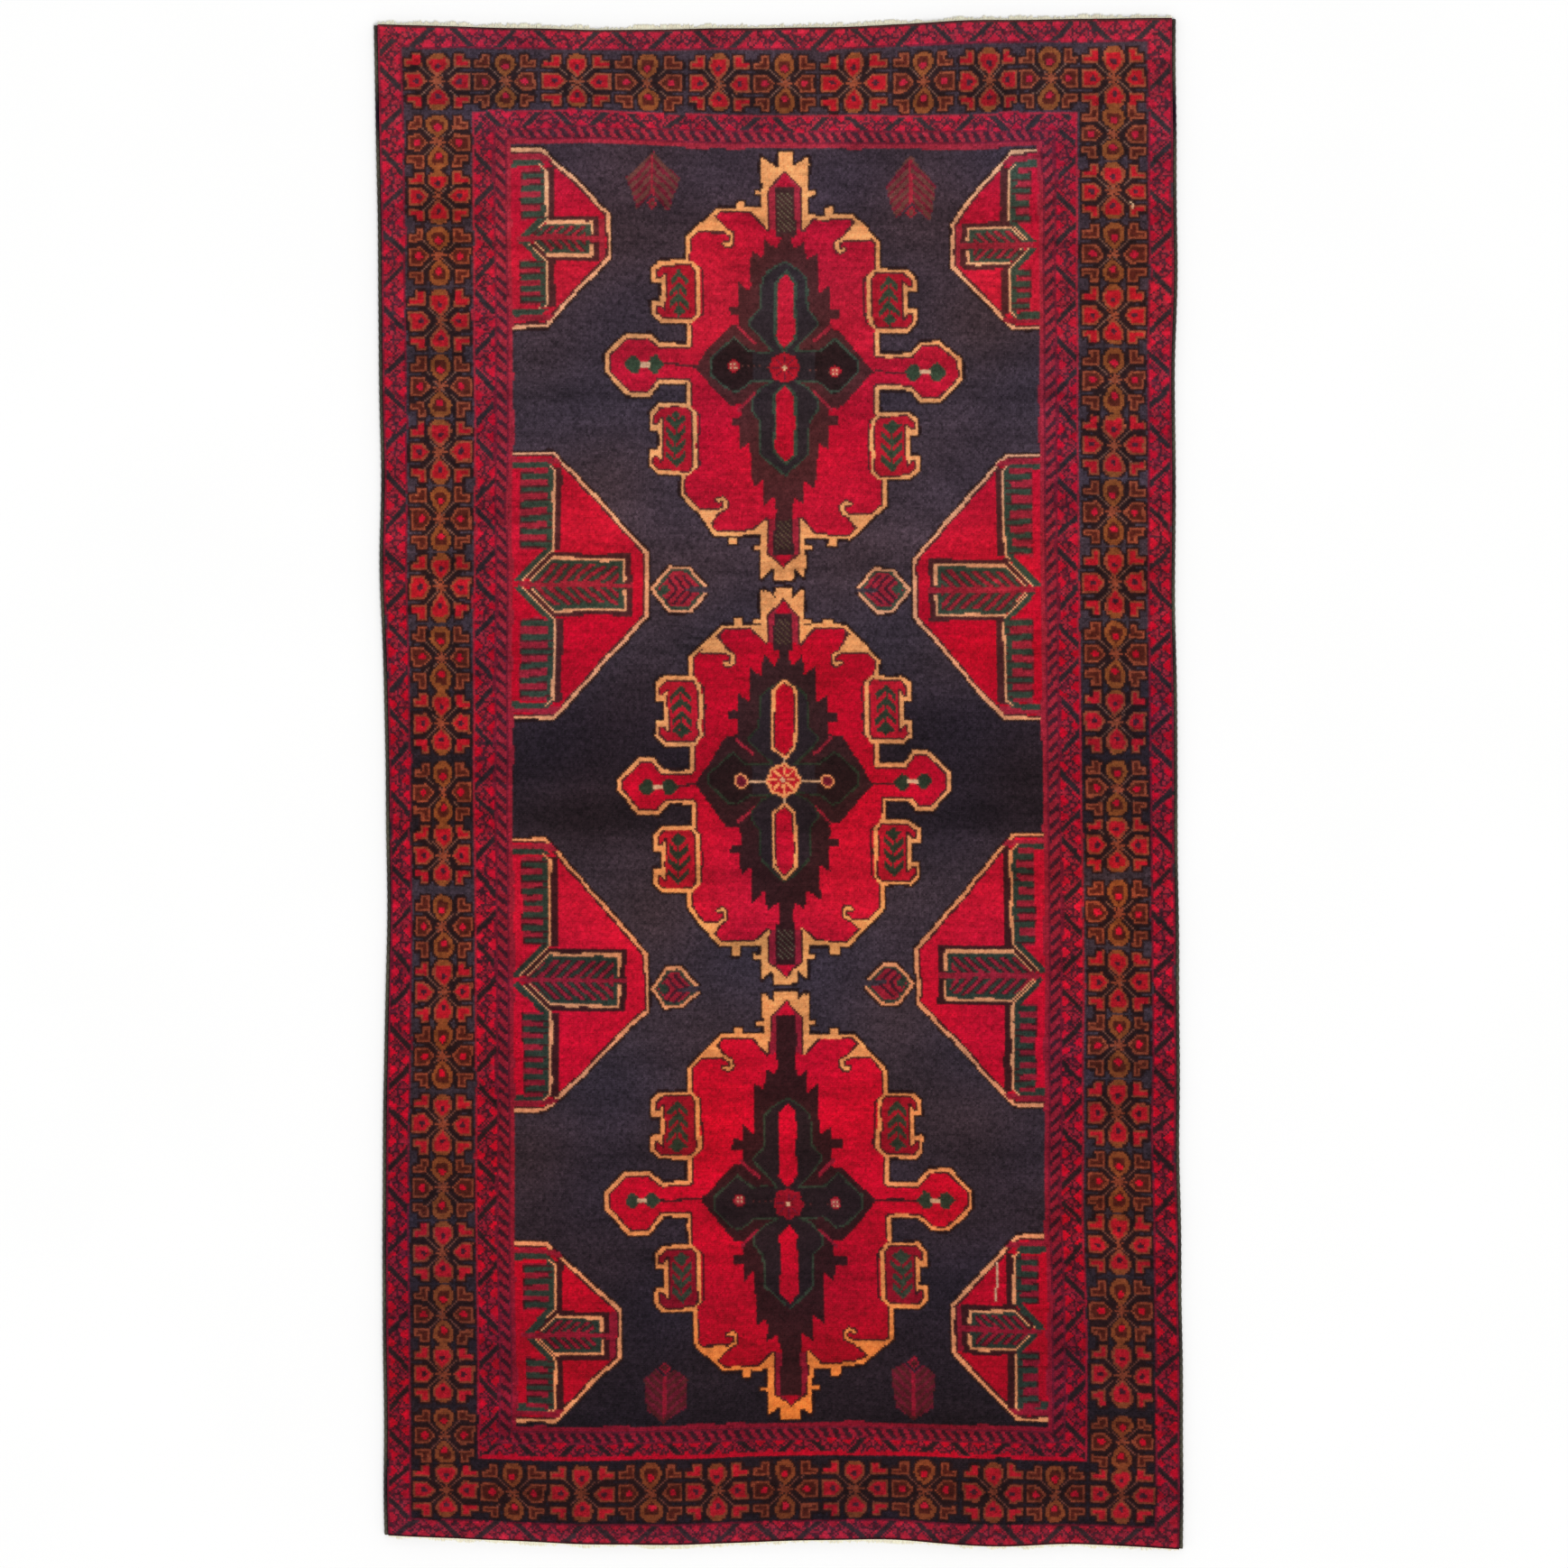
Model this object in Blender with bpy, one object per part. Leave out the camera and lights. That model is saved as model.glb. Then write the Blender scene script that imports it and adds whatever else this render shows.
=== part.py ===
"""A hand-knotted wool rug lying flat on the floor, made as its separate pieces.

The foundation cloth carries the pile. The pile is laid in zones, one body for each area that the weaver works
in its own yarns: border bands, field ground, medallions and the small motifs. Selvedge cords and their
overcast wraps close the long sides, and a flat-woven strip with cut warp ends closes each short side.

Units are metres, +Z is up, X runs across the rug and Y along it. The origin is at the centre of the underside.
Outlines are given in knots from the centre of the rug, because a weaver's chart counts knots.
"""

import math

import bpy

# Driving dimensions, in metres.
KNOT_WIDE = 0.00269  # one knot across the rug
KNOT_LONG = 0.00267  # one row of knots along the rug
FOUNDATION_THICK = 0.0030
PILE_HEIGHT = 0.0062
GAP = 0.0003  # between pieces that touch in the real rug
END_WEAVE_THICK = 0.0024
END_WEAVE_LONG = {"top": 0.0022, "bottom": 0.0014}
FRINGE_THICK = 0.0014
FRINGE_LONG = {"top": 0.0028, "bottom": 0.0018}
WRAP_RADIUS = 0.0027  # outside of the overcast selvedge
WRAP_WALL = 0.0011
CORE_RADIUS = 0.0013

# Driving dimensions, in knots from the centre.
SIDE = 202  # long edge of the pile
END = 390.5  # short edge of the pile
GUARD = 190, 379.5  # where the outer guard meets the main border, across and along
MAIN = 156, 345.5  # where the main border meets the inner guard
POLE = 141, 333  # where the inner guard meets the pole stripe and the plain line
FIELD = 136, 328  # where the border meets the field

# How far the hand-woven rug strays from an even grid, in millimetres, at nine stations. The long lines are
# read from the top end to the bottom end, and a positive number is towards +X. The short lines are read
# from left to right, and a positive number is towards +Y.
STRAY_X = (
    (-SIDE, (-8, -3, 0, 2, 9, 9, 4, 5, 7)),
    (-MAIN[0], (-2, -1, 1, 0, 0, 2, 3, 5, 8)),
    (MAIN[0], (-8, -7, -6, -4, -1, 2, 1, 6, 5)),
    (SIDE, (-1, 1, -1, -1, 2, 4, 5, 9, 9)),
)
STRAY_Y = (
    (-END, (10, 4, -2, -2, 2, 5, -4, -2, -9)),
    (-MAIN[1], (-4, -5, -7, -5, 0, 0, -4, -8, -12)),
    (MAIN[1], (4, 5, 7, 3, 0, 0, 1, 5, 5)),
    (END, (4, 0, -3, -3, -1, 2, 9, 11, 13)),
)

# The strays leave the outline's middle a little off the middle knot. The origin is at the outline's middle.
CENTRE_X = 0.0005
CENTRE_Y = 0.0029

COLOURS = {
    "wool_navy": ((0.035, 0.028, 0.042), 0.95),
    "wool_red": ((0.52, 0.012, 0.035), 0.95),
    "wool_wine": ((0.23, 0.012, 0.032), 0.95),
    "wool_gold": ((0.86, 0.45, 0.16), 0.95),
    "wool_rose": ((0.30, 0.035, 0.045), 0.95),
    "cotton_ivory": ((0.72, 0.66, 0.50), 0.9),
    "goat_hair_dark": ((0.035, 0.036, 0.028), 0.9),
}


def between(value, pairs):
    """Straight-line interpolation in (position, amount) pairs, sorted by position."""
    low = pairs[0]
    for high in pairs[1:]:
        if value <= high[0]:
            break
        low, high = high, high
    if high[0] == low[0]:
        return high[1]
    share = min(1.0, max(0.0, (value - low[0]) / (high[0] - low[0])))
    return low[1] + (high[1] - low[1]) * share


def stations(amounts, half):
    """The (position, amount) pairs of nine even stations from -half to half."""
    step = 2 * half / (len(amounts) - 1)
    return [(-half + i * step, amount) for i, amount in enumerate(amounts)]


LONG_LINES = [(u, stations(a[::-1], END)) for u, a in STRAY_X]
SHORT_LINES = [(v, stations(a, SIDE)) for v, a in STRAY_Y]


def place(u, v):
    """Where the knot (u, v) lies, as x and y in metres."""
    stray_x = between(u, [(line, between(v, along)) for line, along in LONG_LINES])
    stray_y = between(v, [(line, between(u, along)) for line, along in SHORT_LINES])
    return u * KNOT_WIDE + stray_x / 1000 - CENTRE_X, v * KNOT_LONG + stray_y / 1000 - CENTRE_Y


def split(outline):
    """The outline with its edges cut at the stations, so that neighbours share one line as it strays."""
    cuts = (
        [-MAIN[0], MAIN[0]] + [at for at, _ in SHORT_LINES[0][1]],
        [-MAIN[1], MAIN[1]] + [at for at, _ in LONG_LINES[0][1]],
    )
    points = []
    for start, end in zip(outline, outline[1:] + outline[:1]):
        shares = {0.0}
        for axis in (0, 1):
            length = end[axis] - start[axis]
            if length:
                shares |= {(cut - start[axis]) / length for cut in cuts[axis]}
        for share in sorted(s for s in shares if s == 0 or 0.01 < s < 0.99):
            points.append(tuple(a + (b - a) * share for a, b in zip(start, end)))
    return points


def inset(points, by):
    """The outline moved inwards by a distance, or outwards by a negative one."""
    area = sum(x0 * y1 - x1 * y0 for (x0, y0), (x1, y1) in zip(points, points[1:] + points[:1]))
    by = by if area > 0 else -by
    moved = []
    for before, here, after in zip(points[-1:] + points[:-1], points, points[1:] + points[:1]):
        normals = []
        for (x0, y0), (x1, y1) in ((before, here), (here, after)):
            size = math.hypot(x1 - x0, y1 - y0)
            normals.append(((y0 - y1) / size, (x1 - x0) / size))
        (ax, ay), (bx, by_) = normals
        reach = by / max(0.25, 1 + ax * bx + ay * by_)
        moved.append((here[0] + (ax + bx) * reach, here[1] + (ay + by_) * reach))
    return moved


def material(name):
    """The named yarn's Principled material, made once for each object."""
    colour, roughness = COLOURS[name]
    made = bpy.data.materials.new(name)
    made.use_nodes = True
    surface = made.node_tree.nodes["Principled BSDF"]
    surface.inputs["Base Color"].default_value = (*colour, 1)
    surface.inputs["Roughness"].default_value = roughness
    surface.inputs["Metallic"].default_value = 0
    made.diffuse_color = (*colour, 1)
    return made


def add(name, data, yarn):
    """An object of the rug's collection, with its own material."""
    data.materials.append(material(yarn))
    made = bpy.data.objects.new(name, data)
    RUG.objects.link(made)
    return made


def slab(name, outlines, z, thick, yarn):
    """A flat body between z and z + thick. The first outline is its edge and the others are holes in it."""
    data = bpy.data.curves.new(name, "CURVE")
    data.dimensions = "2D"
    data.fill_mode = "BOTH"
    data.extrude = thick / 2
    for outline in outlines:
        spline = data.splines.new("POLY")
        spline.points.add(len(outline) - 1)
        for point, (x, y) in zip(spline.points, outline):
            point.co = (x, y, 0, 1)
        spline.use_cyclic_u = True
    made = add(name, data, yarn)
    made.location.z = z + thick / 2
    return made


def pile(name, outline, yarn, holes=()):
    """A zone of pile standing on the foundation. Outlines are in knots."""
    edge = inset([place(*p) for p in split(list(outline))], GAP / 2)
    cut = [inset([place(*p) for p in split(list(hole))], -GAP / 2) for hole in holes]
    return slab(name, [edge, *cut], FOUNDATION_THICK + GAP, PILE_HEIGHT, yarn)


def tube(name, path, outer, inner, z, yarn, sides=12):
    """A round cord along the path, hollow where inner is not 0 and open at both ends."""
    rings = []
    for radius in (outer, inner) if inner else (outer,):
        for x, y in path:
            turns = [2 * math.pi * (i + 0.5) / sides for i in range(sides)]
            rings.append([(x + radius * math.cos(a), y, z + radius * math.sin(a)) for a in turns])
    points = [point for ring in rings for point in ring]
    count = len(path)
    faces = []

    def skin(first, last, outwards):
        for i in range(sides):
            j = (i + 1) % sides
            quad = (first * sides + i, first * sides + j, last * sides + j, last * sides + i)
            faces.append(quad[::-1] if outwards else quad)

    for k in range(count - 1):
        skin(k, k + 1, True)
        if inner:
            skin(count + k, count + k + 1, False)
    if inner:
        skin(0, count, False)
        skin(count - 1, 2 * count - 1, True)
    else:
        faces.append(tuple(range(sides)))
        faces.append(tuple(range((count - 1) * sides, count * sides))[::-1])
    data = bpy.data.meshes.new(name)
    data.from_pydata(points, [], faces)
    data.validate()
    return add(name, data, yarn)


# Half outlines, in knots. Each medallion goes down its left side and comes up its right side.
MEDALLIONS = {
    "top": (
        [(2, 326), (2, 318), (-7, 324), (-7, 297), (-30, 297), (-46, 282), (-46, 270), (-60, 270), (-64, 266),
         (-64, 259), (-60, 259), (-60, 248), (-64, 248), (-64, 242), (-60, 238), (-46, 238), (-46, 227),
         (-60, 227), (-65, 232), (-77, 232), (-88, 221), (-88, 211), (-77, 200), (-65, 200), (-60, 207),
         (-46, 207), (-46, 196), (-60, 196), (-65, 192), (-65, 183), (-61, 183), (-61, 172), (-65, 172),
         (-65, 164), (-60, 160), (-49, 160), (-49, 149), (-31, 129), (-8, 129), (-8, 107), (-1, 112), (-1, 106)],
        [(9, 106), (9, 112), (14, 107), (13, 128), (38, 127), (57, 144), (57, 158), (69, 158), (73, 162),
         (73, 170), (68, 170), (68, 181), (73, 181), (73, 188), (69, 192), (53, 192), (53, 204), (69, 204),
         (75, 198), (85, 198), (96, 210), (96, 220), (85, 229), (74, 229), (69, 223), (53, 223), (53, 234),
         (68, 234), (72, 238), (72, 245), (67, 245), (67, 257), (72, 257), (72, 263), (68, 266), (54, 266),
         (54, 281), (40, 294), (16, 294), (17, 324), (8, 318), (8, 326)],
    ),
    "middle": (
        [(1, 102), (1, 96), (-6, 101), (-8, 83), (-28, 83), (-45, 66), (-45, 56), (-59, 56), (-62, 53),
         (-62, 44), (-57, 44), (-57, 32), (-62, 32), (-62, 26), (-57, 21), (-45, 21), (-45, 8), (-58, 8),
         (-63, 14), (-71, 14), (-82, 3), (-82, -2), (-72, -14), (-61, -15), (-56, -9), (-44, -9), (-44, -21),
         (-60, -21), (-63, -24), (-63, -31), (-59, -31), (-59, -42), (-64, -42), (-64, -48), (-60, -54),
         (-47, -54), (-47, -62), (-41, -70), (-31, -83), (-9, -83), (-9, -100), (-4, -95), (-3, -102)],
        [(8, -102), (9, -95), (14, -100), (14, -83), (36, -83), (44, -75), (53, -64), (54, -50), (68, -51),
         (72, -47), (72, -40), (67, -40), (67, -28), (72, -28), (72, -22), (68, -18), (55, -18), (55, -8),
         (67, -8), (71, -13), (79, -13), (89, -2), (89, 8), (78, 18), (69, 18), (64, 11), (52, 11), (52, 22),
         (64, 23), (68, 27), (68, 34), (64, 34), (64, 45), (69, 45), (69, 53), (65, 56), (52, 56), (52, 65),
         (40, 79), (36, 83), (13, 83), (13, 101), (7, 96), (7, 102)],
    ),
    "bottom": (
        [(-2, -106), (-2, -113), (-8, -107), (-8, -128), (-30, -128), (-47, -145), (-47, -157), (-62, -157),
         (-66, -161), (-66, -170), (-61, -170), (-61, -179), (-65, -179), (-65, -187), (-61, -191), (-47, -191),
         (-47, -203), (-60, -203), (-67, -197), (-79, -197), (-90, -208), (-90, -217), (-77, -230),
         (-67, -230), (-60, -221), (-47, -221), (-47, -236), (-60, -236), (-64, -240), (-64, -247),
         (-60, -247), (-60, -259), (-64, -259), (-64, -266), (-61, -269), (-45, -269), (-45, -286),
         (-30, -301), (-7, -301), (-7, -324), (-1, -320), (-1, -326)],
        [(9, -326), (9, -320), (14, -324), (15, -301), (41, -299), (57, -285), (57, -269), (71, -269),
         (75, -265), (75, -258), (70, -258), (70, -247), (75, -247), (75, -240), (71, -235), (57, -235),
         (57, -223), (71, -223), (77, -229), (86, -229), (98, -217), (98, -208), (87, -197), (76, -197),
         (70, -205), (56, -205), (56, -192), (70, -192), (73, -188), (73, -180), (68, -180), (68, -169),
         (73, -169), (73, -163), (68, -158), (55, -158), (55, -146), (38, -128), (13, -128), (13, -107),
         (8, -112), (8, -106)],
    ),
}

# Each side motif hangs on the border: where it leaves it, its point's two corners, and where it returns.
SIDE_MOTIFS = {
    "left": (
        ("top_corner", [(-136, 326), (-119, 326), (-85, 293), (-85, 271), (-118, 234), (-136, 234)]),
        ("upper", [(-136, 171), (-115, 171), (-66, 120), (-66, 87), (-114, 34), (-136, 34)]),
        ("lower", [(-136, -27), (-119, -27), (-67, -86), (-67, -115), (-119, -167), (-136, -167)]),
        ("bottom_corner", [(-136, -234), (-119, -234), (-82, -269), (-82, -293), (-117, -326), (-136, -326)]),
    ),
    "right": (
        ("top_corner", [(136, 326), (121, 326), (90, 290), (90, 267), (122, 234), (136, 234)]),
        ("upper", [(136, 171), (118, 171), (70, 117), (70, 87), (116, 34), (136, 34)]),
        ("lower", [(136, -24), (120, -24), (70, -83), (70, -112), (120, -164), (136, -164)]),
        ("bottom_corner", [(136, -230), (121, -230), (87, -267), (87, -292), (120, -325), (136, -325)]),
    ),
}
SMALL_MOTIFS = {
    "left": (
        ("upper_bud", [(-65, 101), (-56, 113), (-45, 113), (-36, 103), (-36, 99), (-44, 89), (-56, 89)]),
        ("lower_bud", [(-66, -104), (-58, -93), (-50, -93), (-41, -103), (-41, -106), (-50, -114), (-59, -114)]),
        ("top_tree", [(-63, 325), (-49, 312), (-53, 296), (-72, 296), (-77, 312)]),
        ("bottom_tree", [(-60, -295), (-48, -304), (-50, -320), (-60, -327), (-69, -320), (-71, -304)]),
    ),
    "right": (
        ("upper_bud", [(69, 101), (60, 112), (50, 112), (41, 103), (41, 100), (50, 89), (60, 89)]),
        ("lower_bud", [(69, -102), (60, -92), (53, -92), (44, -101), (44, -105), (52, -113), (61, -113)]),
        ("top_tree", [(70, 325), (83, 309), (80, 292), (62, 292), (57, 309)]),
        ("bottom_tree", [(67, -294), (78, -302), (77, -320), (67, -327), (58, -320), (56, -302)]),
    ),
}
CHAIN_AXIS = 4  # the medallions' common axis, in knots to the right of the centre


def rectangle(u0, u1, v0, v1):
    return [(u0, v0), (u1, v0), (u1, v1), (u0, v1)]


def build_foundation():
    """The cloth that the knots are tied on, and the flat strip and cut warps at each end."""
    edge = [place(*p) for p in split(rectangle(-SIDE, SIDE, -END, END))]
    slab("foundation_cloth", [edge], 0, FOUNDATION_THICK, "cotton_ivory")
    for end, sign in (("top", 1), ("bottom", -1)):
        line = [place(-SIDE + 2 * SIDE * i / 8, sign * END) for i in range(9)]
        first, second = GAP, GAP + END_WEAVE_LONG[end]
        third, fourth = second + GAP, second + GAP + FRINGE_LONG[end]
        for name, near, far, thick in (
            ("end_weave", first, second, END_WEAVE_THICK),
            ("warp_fringe", third, fourth, FRINGE_THICK),
        ):
            strip = [(x, y + sign * near) for x, y in line] + [(x, y + sign * far) for x, y in line[::-1]]
            slab(f"{end}_{name}", [strip], 0, thick, "cotton_ivory")


def build_selvedges():
    """A core cord along each long side, inside its overcast wrap."""
    for name, sign in (("left", -1), ("right", 1)):
        line = [place(sign * SIDE, -END + 2 * END * i / 8) for i in range(9)]
        path = [(x + sign * (WRAP_RADIUS + GAP), y) for x, y in line]
        tube(f"{name}_selvedge_core", path, CORE_RADIUS, 0, WRAP_RADIUS, "goat_hair_dark")
        tube(f"{name}_selvedge_wrap", path, WRAP_RADIUS, WRAP_RADIUS - WRAP_WALL, WRAP_RADIUS, "goat_hair_dark")


def build_borders():
    """Four bands round the field. The short runs reach the corners, as they do on the loom."""
    bands = (
        ("outer_guard", (SIDE, END), GUARD, "wool_wine"),
        ("main_border", GUARD, MAIN, "wool_navy"),
        ("inner_guard", MAIN, POLE, "wool_wine"),
        ("pole_stripe", POLE, FIELD, "wool_red"),
    )
    for name, (out_u, out_v), (in_u, in_v), yarn in bands:
        pile(f"{name}_top", rectangle(-out_u, out_u, in_v, out_v), yarn)
        pile(f"{name}_bottom", rectangle(-out_u, out_u, -out_v, -in_v), yarn)
        pile(f"{name}_left", rectangle(-out_u, -in_u, -in_v, in_v), yarn)
        pile(f"{name}_right", rectangle(in_u, out_u, -in_v, in_v), yarn)


def build_field():
    """The medallions down the middle, the motifs at the sides, and the ground to the left and right of them."""
    for name, (left, right) in MEDALLIONS.items():
        pile(f"medallion_{name}", left + right, "wool_red")
    for side, sign in (("left", -1), ("right", 1)):
        for name, outline in SIDE_MOTIFS[side]:
            pile(f"{side}_{name}_motif", outline, "wool_red")
        for name, outline in SMALL_MOTIFS[side]:
            pile(f"{side}_{name}", outline, "wool_gold" if "bud" in name else "wool_rose")
        inner = [(CHAIN_AXIS, FIELD[1])]
        for left, right in MEDALLIONS.values():
            half = left if sign < 0 else right[::-1]
            inner += [(CHAIN_AXIS, half[0][1]), *half, (CHAIN_AXIS, half[-1][1])]
        inner.append((CHAIN_AXIS, -FIELD[1]))
        outer = [(sign * FIELD[0], FIELD[1])]
        for _, outline in SIDE_MOTIFS[side]:
            outer += outline
        outer.append((sign * FIELD[0], -FIELD[1]))
        holes = [outline for _, outline in SMALL_MOTIFS[side]]
        pile(f"field_ground_{side}", inner + outer[::-1], "wool_navy", holes)


for old in list(bpy.data.objects):
    bpy.data.objects.remove(old, do_unlink=True)
RUG = bpy.data.collections.new("area_rug")
bpy.context.scene.collection.children.link(RUG)
build_foundation()
build_selvedges()
build_borders()
build_field()
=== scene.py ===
"""The looks of a hand-knotted wool rug: cut pile, knotted foundation, overcast selvedges and trimmed warp ends.

The pattern is worked out as a loom chart, one cell for each knot, and every knot of the pile is then a small
tuft of its own. Outlines and places in the chart are in knots from the middle of the rug, because a weaver's
chart counts knots: u runs to the right and v towards the top end. Every other size is in metres, +Z up.
"""

from __future__ import annotations

import logging
from collections.abc import Callable, Iterable, Sequence
from dataclasses import dataclass, field
from enum import Enum, IntEnum

import bpy
import numpy as np
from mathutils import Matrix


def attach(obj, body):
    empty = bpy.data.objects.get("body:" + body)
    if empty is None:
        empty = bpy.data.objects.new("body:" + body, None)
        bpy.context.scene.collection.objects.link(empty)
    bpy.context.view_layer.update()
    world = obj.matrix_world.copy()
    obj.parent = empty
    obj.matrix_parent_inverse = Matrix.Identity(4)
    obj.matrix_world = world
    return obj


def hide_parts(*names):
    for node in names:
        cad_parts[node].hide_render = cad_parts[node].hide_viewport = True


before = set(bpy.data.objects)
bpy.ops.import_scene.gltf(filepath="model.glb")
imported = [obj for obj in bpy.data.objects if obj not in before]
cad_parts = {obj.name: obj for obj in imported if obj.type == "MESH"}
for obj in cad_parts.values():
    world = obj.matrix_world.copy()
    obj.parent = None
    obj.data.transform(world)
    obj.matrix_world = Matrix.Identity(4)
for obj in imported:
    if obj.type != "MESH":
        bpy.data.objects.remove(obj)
log = logging.getLogger("rug")

Point = tuple[float, float]
Outline = Sequence[Point]
Colour = tuple[float, float, float]

# The loom's own measures: knots across and rows along, and the size of a knot in metres.
KNOTS, ROWS = 404, 781
KNOT_WIDE, KNOT_LONG = 0.00269, 0.00267
SIDE, END = 202.0, 390.5
GUARD, MAIN, POLE, FIELD = (190.0, 379.5), (156.0, 345.5), (141.0, 333.0), (136.0, 328.0)
CHAIN_AXIS = 4.0
FOUNDATION_THICK = 0.0030
GAP = 0.0003
WRAP_RADIUS, CORE_RADIUS = 0.0027, 0.0013
END_WEAVE_THICK = 0.0024
PILE_FOOT, PILE_TOP = 0.0033, 0.0095

# How far the hand-woven rug strays from an even grid, in millimetres, at nine stations.
STRAY_X = (
    (-SIDE, (-8, -3, 0, 2, 9, 9, 4, 5, 7)),
    (-MAIN[0], (-2, -1, 1, 0, 0, 2, 3, 5, 8)),
    (MAIN[0], (-8, -7, -6, -4, -1, 2, 1, 6, 5)),
    (SIDE, (-1, 1, -1, -1, 2, 4, 5, 9, 9)),
)
STRAY_Y = (
    (-END, (10, 4, -2, -2, 2, 5, -4, -2, -9)),
    (-MAIN[1], (-4, -5, -7, -5, 0, 0, -4, -8, -12)),
    (MAIN[1], (4, 5, 7, 3, 0, 0, 1, 5, 5)),
    (END, (4, 0, -3, -3, -1, 2, 9, 11, 13)),
)
CENTRE_X, CENTRE_Y = 0.0005, 0.0029


class Edge(Enum):
    """An edge of the rug: its name, and which way it lies from the middle."""

    TOP = ("top", 1.0)
    BOTTOM = ("bottom", -1.0)
    LEFT = ("left", -1.0)
    RIGHT = ("right", 1.0)

    def __init__(self, label: str, sign: float) -> None:
        """Holds the edge's name and its direction."""
        self.label, self.sign = label, sign


# ---- number helpers


def ripple(u: np.ndarray, v: np.ndarray, seed: int, length: float, waves: int = 9) -> np.ndarray:
    """A smooth, even roll of about +-1: the mean of sine waves of about one length in random directions.

    Args:
        u: Places across, in knots.
        v: Places along, in knots.
        seed: Fixes the directions and phases.
        length: The middle wave length, in knots.
        waves: How many sine waves are added.

    Returns:
        One height for each place.
    """
    rng = np.random.default_rng(seed)
    turn, phase = rng.uniform(0, 2 * np.pi, (2, waves))
    pitch = 2 * np.pi / (length * rng.uniform(0.6, 1.7, waves))
    total = np.zeros(np.broadcast(u, v).shape)
    for t, p, k in zip(turn, phase, pitch):
        total += np.sin(k * (np.cos(t) * u + np.sin(t) * v) + p)
    return total / np.sqrt(waves / 2)


def spline(place: np.ndarray, amounts: Sequence[float], half: float) -> np.ndarray:
    """A Catmull-Rom curve through amounts at even stations from -half to half, read at each place."""
    knots = np.asarray(amounts, float)
    at = np.clip((place + half) / (2 * half), 0, 1) * (len(knots) - 1)
    low = np.minimum(at.astype(int), len(knots) - 2)
    t = at - low
    padded = np.concatenate([[2 * knots[0] - knots[1]], knots, [2 * knots[-1] - knots[-2]]])
    a, b, c, d = (padded[low + i] for i in range(4))
    return b + 0.5 * t * (c - a + t * (2 * a - 5 * b + 4 * c - d + t * (3 * (b - c) + d - a)))


def across(place: np.ndarray, lines: Sequence[tuple[float, np.ndarray]]) -> np.ndarray:
    """Straight-line interpolation between arrays that hold on lines at set places."""
    total = np.array(np.broadcast_to(lines[0][1], place.shape), float)
    for (low, before), (high, after) in zip(lines, lines[1:]):
        total += (after - before) * np.clip((place - low) / (high - low), 0, 1)
    return total


def lay(u: np.ndarray, v: np.ndarray) -> tuple[np.ndarray, np.ndarray, np.ndarray]:
    """Where the point (u, v) of the chart lies on the floor, and how far the cloth stands off the floor there.

    The even grid strays as the nine-station tables say, with a small hand-made waver on top, and the cloth
    rises in low rolls that grow a little towards the edges.

    Args:
        u: Places across, in knots.
        v: Places along, in knots.

    Returns:
        x, y and the rise, in metres.
    """
    stray_x = across(u, [(line, spline(v, a[::-1], END)) for line, a in STRAY_X])
    stray_y = across(v, [(line, spline(u, a, SIDE)) for line, a in STRAY_Y])
    waver_x = 0.00045 * ripple(u, v, 11, 46)
    waver_y = 0.00045 * ripple(u, v, 12, 52)
    rim = np.clip(np.maximum(np.abs(u) / SIDE, np.abs(v) / END), 0, 1) ** 6
    rise = (0.00022 + 0.00035 * rim) * (1 + ripple(u, v, 13, 150, 7) / 1.6)
    x = u * KNOT_WIDE + stray_x / 1000 - CENTRE_X + waver_x
    y = v * KNOT_LONG + stray_y / 1000 - CENTRE_Y + waver_y
    return x, y, np.maximum(rise, 0)


def linear(colour: Sequence[float]) -> np.ndarray:
    """A colour given as 0 to 255 on a screen, as linear light."""
    c = np.asarray(colour, float) / 255
    return np.where(c <= 0.04045, c / 12.92, ((c + 0.055) / 1.055) ** 2.4)


# ---- yarns


class Yarn(IntEnum):
    """The dyed yarns on the weaver's bobbins."""

    NAVY = 0
    RED = 1
    GOLD = 2
    PEACH = 3
    GREEN = 4
    BROWN = 5
    ROSE = 6
    WINE = 7
    RUST = 8
    UMBER = 9
    BLACK = 10
    PALE = 11
    MOSS = 12
    MIST = 13
    OLIVE = 14
    CHERRY = 15
    PINK = 16
    MADDER = 17
    PLUM = 18
    BUD = 19
    AMBER = 20
    SLATE = 21
    COFFEE = 22


@dataclass(frozen=True)
class Dye:
    """One yarn's colour down the rug, as dye lots change.

    Attributes:
        lots: (v, colour) stops from the top end down, colour as 0 to 255 on a screen.
        fleck: How far one knot's brightness strays from the next, as a share.
    """

    lots: tuple[tuple[float, Colour], ...]
    fleck: float = 0.10

    def colours(self, v: np.ndarray) -> np.ndarray:
        """The linear colour of this yarn at each place down the rug."""
        stops = sorted(self.lots)
        places = [place for place, _ in stops]
        lots = np.array([linear(colour) for _, colour in stops])
        return np.stack([np.interp(v, places, lots[:, i]) for i in range(3)], -1)


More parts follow.
